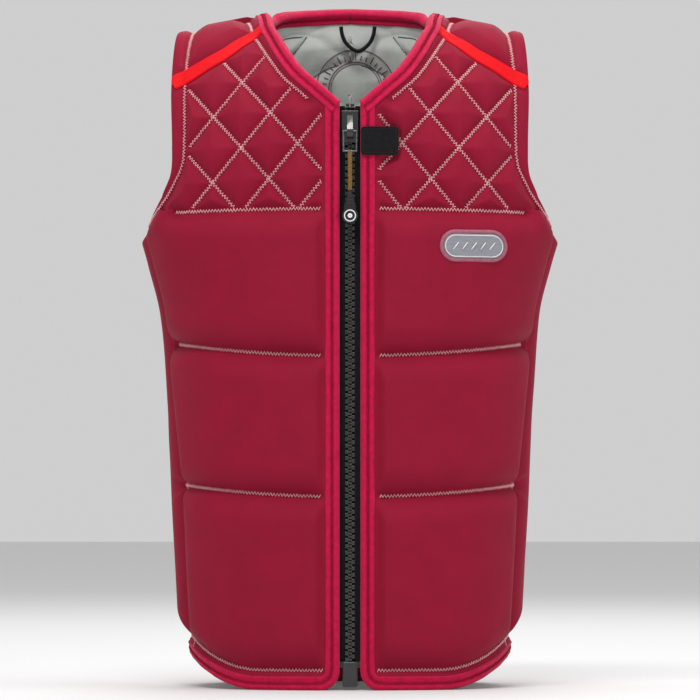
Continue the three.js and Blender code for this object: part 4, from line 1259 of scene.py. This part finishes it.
def rounded(node, body, material, width=0.5):
    """A CAD piece with its sharp edges rounded, standing for the CAD node."""
    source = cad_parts[node]
    mesh = source.data.copy()
    mesh.name = node + "_rounded"
    mesh.materials.clear()
    mesh.materials.append(material)
    obj = bpy.data.objects.new(node + "_look", mesh)
    bpy.context.scene.collection.objects.link(obj)
    bm = bmesh.new()
    bm.from_mesh(mesh)
    bmesh.ops.remove_doubles(bm, verts=bm.verts, dist=1e-6)
    bmesh.ops.dissolve_limit(bm, angle_limit=math.radians(2), verts=bm.verts, edges=bm.edges)
    bm.to_mesh(mesh)
    bm.free()
    finish_edges(obj, width)
    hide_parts(node)
    ride(obj, body)
    return obj


def zipper(mats):
    """Chain, stops, box, pin, slider and link."""
    for word, side in SIDES:
        chain_half(word, side, mats)
        rounded(f"zip_top_stop_{word}", f"front_{word}", mats["zip_plastic"], 0.5)
        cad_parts[f"zip_tape_{word}"].data.materials.clear()
        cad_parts[f"zip_tape_{word}"].data.materials.append(mats["zip_cloth"])
    rounded("zip_retainer_box", "front_right", mats["zip_plastic"], 0.9)
    rounded("zip_insertion_pin", "front_left", mats["zip_plastic"], 0.5)
    rounded("slider_body", "slider", mats["zip_plastic"], 0.9)
    rounded("slider_back_plate", "slider", mats["zip_plastic"], 0.6)
    rounded("slider_crown", "slider", mats["zip_plastic"], 0.7)
    rounded("pull_link", "pull", mats["link_metal"], 0.45)


# ---------------------------------------------------------------- pull, tab, badge, loop
def pull(mats):
    """Braided cord with its grip and medallion."""
    low, high = cad_size("pull_cord")
    centre = (low + high) / 2
    strands = Tubes()
    count, radius = 6, (high[0] - low[0]) / 2 - 0.55
    t = np.linspace(0, 1, 70)
    z = high[2] + (low[2] - high[2]) * t
    for k in range(count):
        for hand in (1, -1):
            a = 2 * math.pi * (k / count) + hand * 2 * math.pi * 2.4 * t
            r = radius + 0.18 * np.sin(2 * a * 3)
            pts = np.stack([centre[0] + r * np.cos(a), centre[1] + r * np.sin(a), z], -1)
            nrm = np.stack([np.cos(a), np.sin(a), 0 * a], -1)
            strands.add(pts, nrm, 0.55, 5)
    core = np.stack([np.full(12, centre[0]), np.full(12, centre[1]),
                     np.linspace(high[2], low[2], 12)], -1)
    strands.add(core, np.tile([0, -1.0, 0], (12, 1)), radius - 0.35, 8)
    cord = strands.mesh("braided_pull_cord", mats["cord"])
    ride(cord, "pull")
    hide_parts("pull_cord")
    grip_low, grip_high = cad_size("pull_grip")
    grip = tapered_grip(grip_low, grip_high, mats)
    medal = medallion(mats)


def tapered_grip(low, high, mats):
    """A flattened rubber grip, narrow at the cord and ridged down its front."""
    centre = (low + high) / 2
    size = high - low
    rings, around = 60, 28
    verts = []
    for k in range(rings + 1):
        t = k / rings
        half_x = size[0] / 2 * (0.42 + 0.58 * smooth(np.array(t * 1.7)))
        half_y = size[1] / 2 * (0.8 + 0.2 * smooth(np.array(t * 2)))
        end = math.sqrt(max(1 - (2 * max(t, 1 - t) - 1) ** 8, 0.02))
        ridge = 1 + 0.05 * math.cos(k * 1.05) * (0.1 < t < 0.5)
        for m in range(around):
            a = 2 * math.pi * m / around
            cx, cy = math.cos(a), math.sin(a)
            verts.append((centre[0] + half_x * end * ridge * math.copysign(abs(cx) ** 0.6, cx),
                          centre[1] + half_y * end * ridge * math.copysign(abs(cy) ** 0.6, cy),
                          high[2] - size[2] * t))
    faces = []
    for k in range(rings):
        for m in range(around):
            n = (m + 1) % around
            faces.append((k * around + m, k * around + n, (k + 1) * around + n, (k + 1) * around + m))
    faces.append(tuple(range(around)))
    faces.append(tuple(reversed(range(rings * around, (rings + 1) * around))))
    grip = make_mesh("pull_grip_look", verts, faces, mats["rubber"])
    ride(grip, "pull")
    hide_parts("pull_grip")
    return grip


def turned(name, profile, centre, material, steps=48):
    """A body turned about a line along Y, from (radius, y) pairs."""
    verts, faces = [], []
    m = len(profile)
    for k in range(steps):
        a = 2 * math.pi * k / steps
        verts += [(centre[0] + r * math.cos(a), y, centre[2] + r * math.sin(a)) for r, y in profile]
    for k in range(steps):
        n = (k + 1) % steps
        faces += [(k * m + i, n * m + i, n * m + i + 1, k * m + i + 1) for i in range(m - 1)]
    faces.append(tuple(k * m for k in range(steps)))
    faces.append(tuple(k * m + m - 1 for k in range(steps)))
    return make_mesh(name, verts, faces, material)


def medallion(mats):
    """Round rubber medallion with plain rings."""
    low, high = cad_size("pull_medallion")
    centre = (low + high) / 2
    radius, front, back = (high[0] - low[0]) / 2, low[1], high[1]
    disc = turned("pull_medallion_look", [
        (0.4, back), (radius - 0.5, back), (radius, back - 0.5), (radius, front + 0.6),
        (radius - 0.5, front), (radius - 1.3, front + 0.35), (radius - 1.6, front + 0.5),
        (0.4, front + 0.5)], centre, mats["rubber"])
    ride(disc, "pull")
    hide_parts("pull_medallion")
    for name, outer, inner in (("pull_medallion_ring", radius - 1.7, radius - 2.7),
                               ("pull_medallion_dot", 2.1, 0.3)):
        ring = turned(name, [(inner, front + 0.6), (inner, front + 0.25),
                             (outer, front + 0.25), (outer, front + 0.6)], centre,
                      mats["white_print"])
        ride(ring, "pull")
    return disc


def stadium(length, height, count=20):
    """Outline points of a round-ended plate, across and up."""
    r, half = height / 2, length / 2 - height / 2
    a = np.linspace(-math.pi / 2, math.pi / 2, count)
    right = np.stack([half + r * np.cos(a), r * np.sin(a)], -1)
    left = np.stack([-half - r * np.cos(a), -r * np.sin(a)], -1)
    return np.concatenate([right, left])


def badge(mats):
    """Raised rim, inset plate and a fine line, all following the chest."""
    low, high = cad_size("badge_rim")
    cx, cz = (low[0] + high[0]) / 2, (low[2] + high[2]) / 2
    length, height = 60.0, 28.0
    base = BLOCK_RISE - SEAM_DIP - 0.6

    def on_chest(pts, lift):
        xs, zs = cx + pts[:, 0] * 0.94, cz + pts[:, 1]
        out = []
        for x, z in zip(xs, zs):
            across, up = chart_of(x, z)
            p = skin(across, up)
            e = 0.05
            n = np.cross(skin(across + e, up) - skin(across - e, up),
                         skin(across, up + e) - skin(across, up - e))
            out.append(p + n / np.linalg.norm(n) * (base + lift))
        return np.array(out)

    def plate(name, rings, material, slot):
        grids = [on_chest(stadium(length + 2 * g, height + 2 * g), lift) for g, lift in rings]
        n = len(grids[0])
        verts = np.concatenate(grids)
        faces = []
        for k in range(len(rings) - 1):
            for i in range(n):
                j = (i + 1) % n
                faces.append((k * n + i, k * n + j, (k + 1) * n + j, (k + 1) * n + i))
        faces.append(tuple(range(n)))
        faces.append(tuple(reversed(range((len(rings) - 1) * n, len(rings) * n))))
        return ride(make_mesh(name, verts, faces, material), "front_left")

    rim = plate("badge_rim_look", [(0, -4.0), (0, 1.2), (-0.5, 2.0), (-1.8, 2.4), (-2.8, 2.2),
                                   (-3.3, 1.5), (-9, 1.4), (-12, 1.4)], mats["badge_rim"], "rubber")
    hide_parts("badge_rim")
    face = plate("badge_plate_look", [(-3.5, 1.2), (-3.5, 1.8), (-3.9, 2.1), (-6, 2.15), (-9, 2.15),
                                      (-12, 2.15)], mats["badge"], "badge")
    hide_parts("badge_plate")
    edge = Tubes()
    ring = on_chest(stadium(length - 9.6, height - 9.6, 30), 2.2)
    ring = np.concatenate([ring, ring[:1]])
    edge.add(ring, np.tile([0.3, -0.95, 0], (len(ring), 1)), 0.42, 6)
    for k in range(5):
        middle = (k - 2) * 8
        slant = np.array([[middle - 2.4, -3.0], [middle, 0], [middle + 2.4, 3.0]])
        bar = on_chest(slant, 2.2)
        edge.add(bar, np.tile([0.3, -0.95, 0], (3, 1)), 0.5, 6)
    ride(edge.mesh("badge_lines", mats["white_print"]), "front_left")


def tab(mats):
    """A woven keeper tab with rounded free corners and a stitched border."""
    rounded("keeper_tab", "keeper_tab", mats["zip_cloth"], 0.6)
    low, high = cad_size("keeper_tab")
    front = low[1] - 0.05
    stitches = Tubes()
    x0, x1, z0, z1 = low[0] + 2, high[0] - 2.2, low[2] + 2.2, high[2] - 2.2
    corners = [(x0, z0), (x1, z0), (x1, z1), (x0, z1), (x0, z0)]
    loop = np.array([[x, front, z] for x, z in corners])
    for a, b in zip(loop[:-1], loop[1:]):
        count = int(np.linalg.norm(b - a) / 2.6)
        for k in range(count):
            p = a + (b - a) * (k + 0.2) / count
            q = a + (b - a) * (k + 0.8) / count
            stitches.add([p, (p + q) / 2 + [0, -0.15, 0], q], np.tile([0, -1.0, 0], (3, 1)), 0.3)
    ride(stitches.mesh("keeper_tab_stitches", mats["rubber"]), "keeper_tab")


def hang_loop(mats):
    """The cord loop inside the back neck, on the same route as its CAD solid."""
    low, high = cad_size("hang_loop")
    thick = 3.5
    half = 15.0
    centre = 7.0
    y = (low[1] + high[1]) / 2
    top = high[2]
    drop = 22.0
    route = [(-half, 0), (-half + 1, -0.32), (-half + 5, -0.7), (0, -1),
             (half - 5, -0.7), (half - 1, -0.32), (half, 0)]
    knots = np.array([(centre + x, y, top + h * drop) for x, h in route])
    fine = relax(smooth_line(knots, 60), 2)
    curve = bpy.data.curves.new("hang_loop_cord", "CURVE")
    curve.dimensions = "3D"
    curve.bevel_depth = thick / 2 * MM
    curve.bevel_resolution = 4
    curve.use_fill_caps = True
    spline = curve.splines.new("POLY")
    spline.points.add(len(fine) - 1)
    for point, place in zip(spline.points, fine * MM):
        point.co = (*place, 1)
    curve.materials.append(mats["zip_cloth"])
    obj = bpy.data.objects.new("hang_loop_cord", curve)
    bpy.context.scene.collection.objects.link(obj)
    ride(obj, "hang_loop")
    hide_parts("hang_loop")


def smooth_line(knots, count):
    """A curve through a few knots, at evenly spaced distances."""
    chord = distances(knots)
    s = np.linspace(0, chord[-1], count)
    return np.stack([through(list(zip(chord, knots[:, k])), s) for k in range(3)], -1)


# ---------------------------------------------------------------- build
make_camera()
materials = make_materials()
make_stage()
hang_loop(materials)
pull(materials)
for side_word, side_sign in SIDES:
    front_half(side_word, side_sign, materials)
back_panel(materials)
zipper(materials)
badge(materials)
tab(materials)
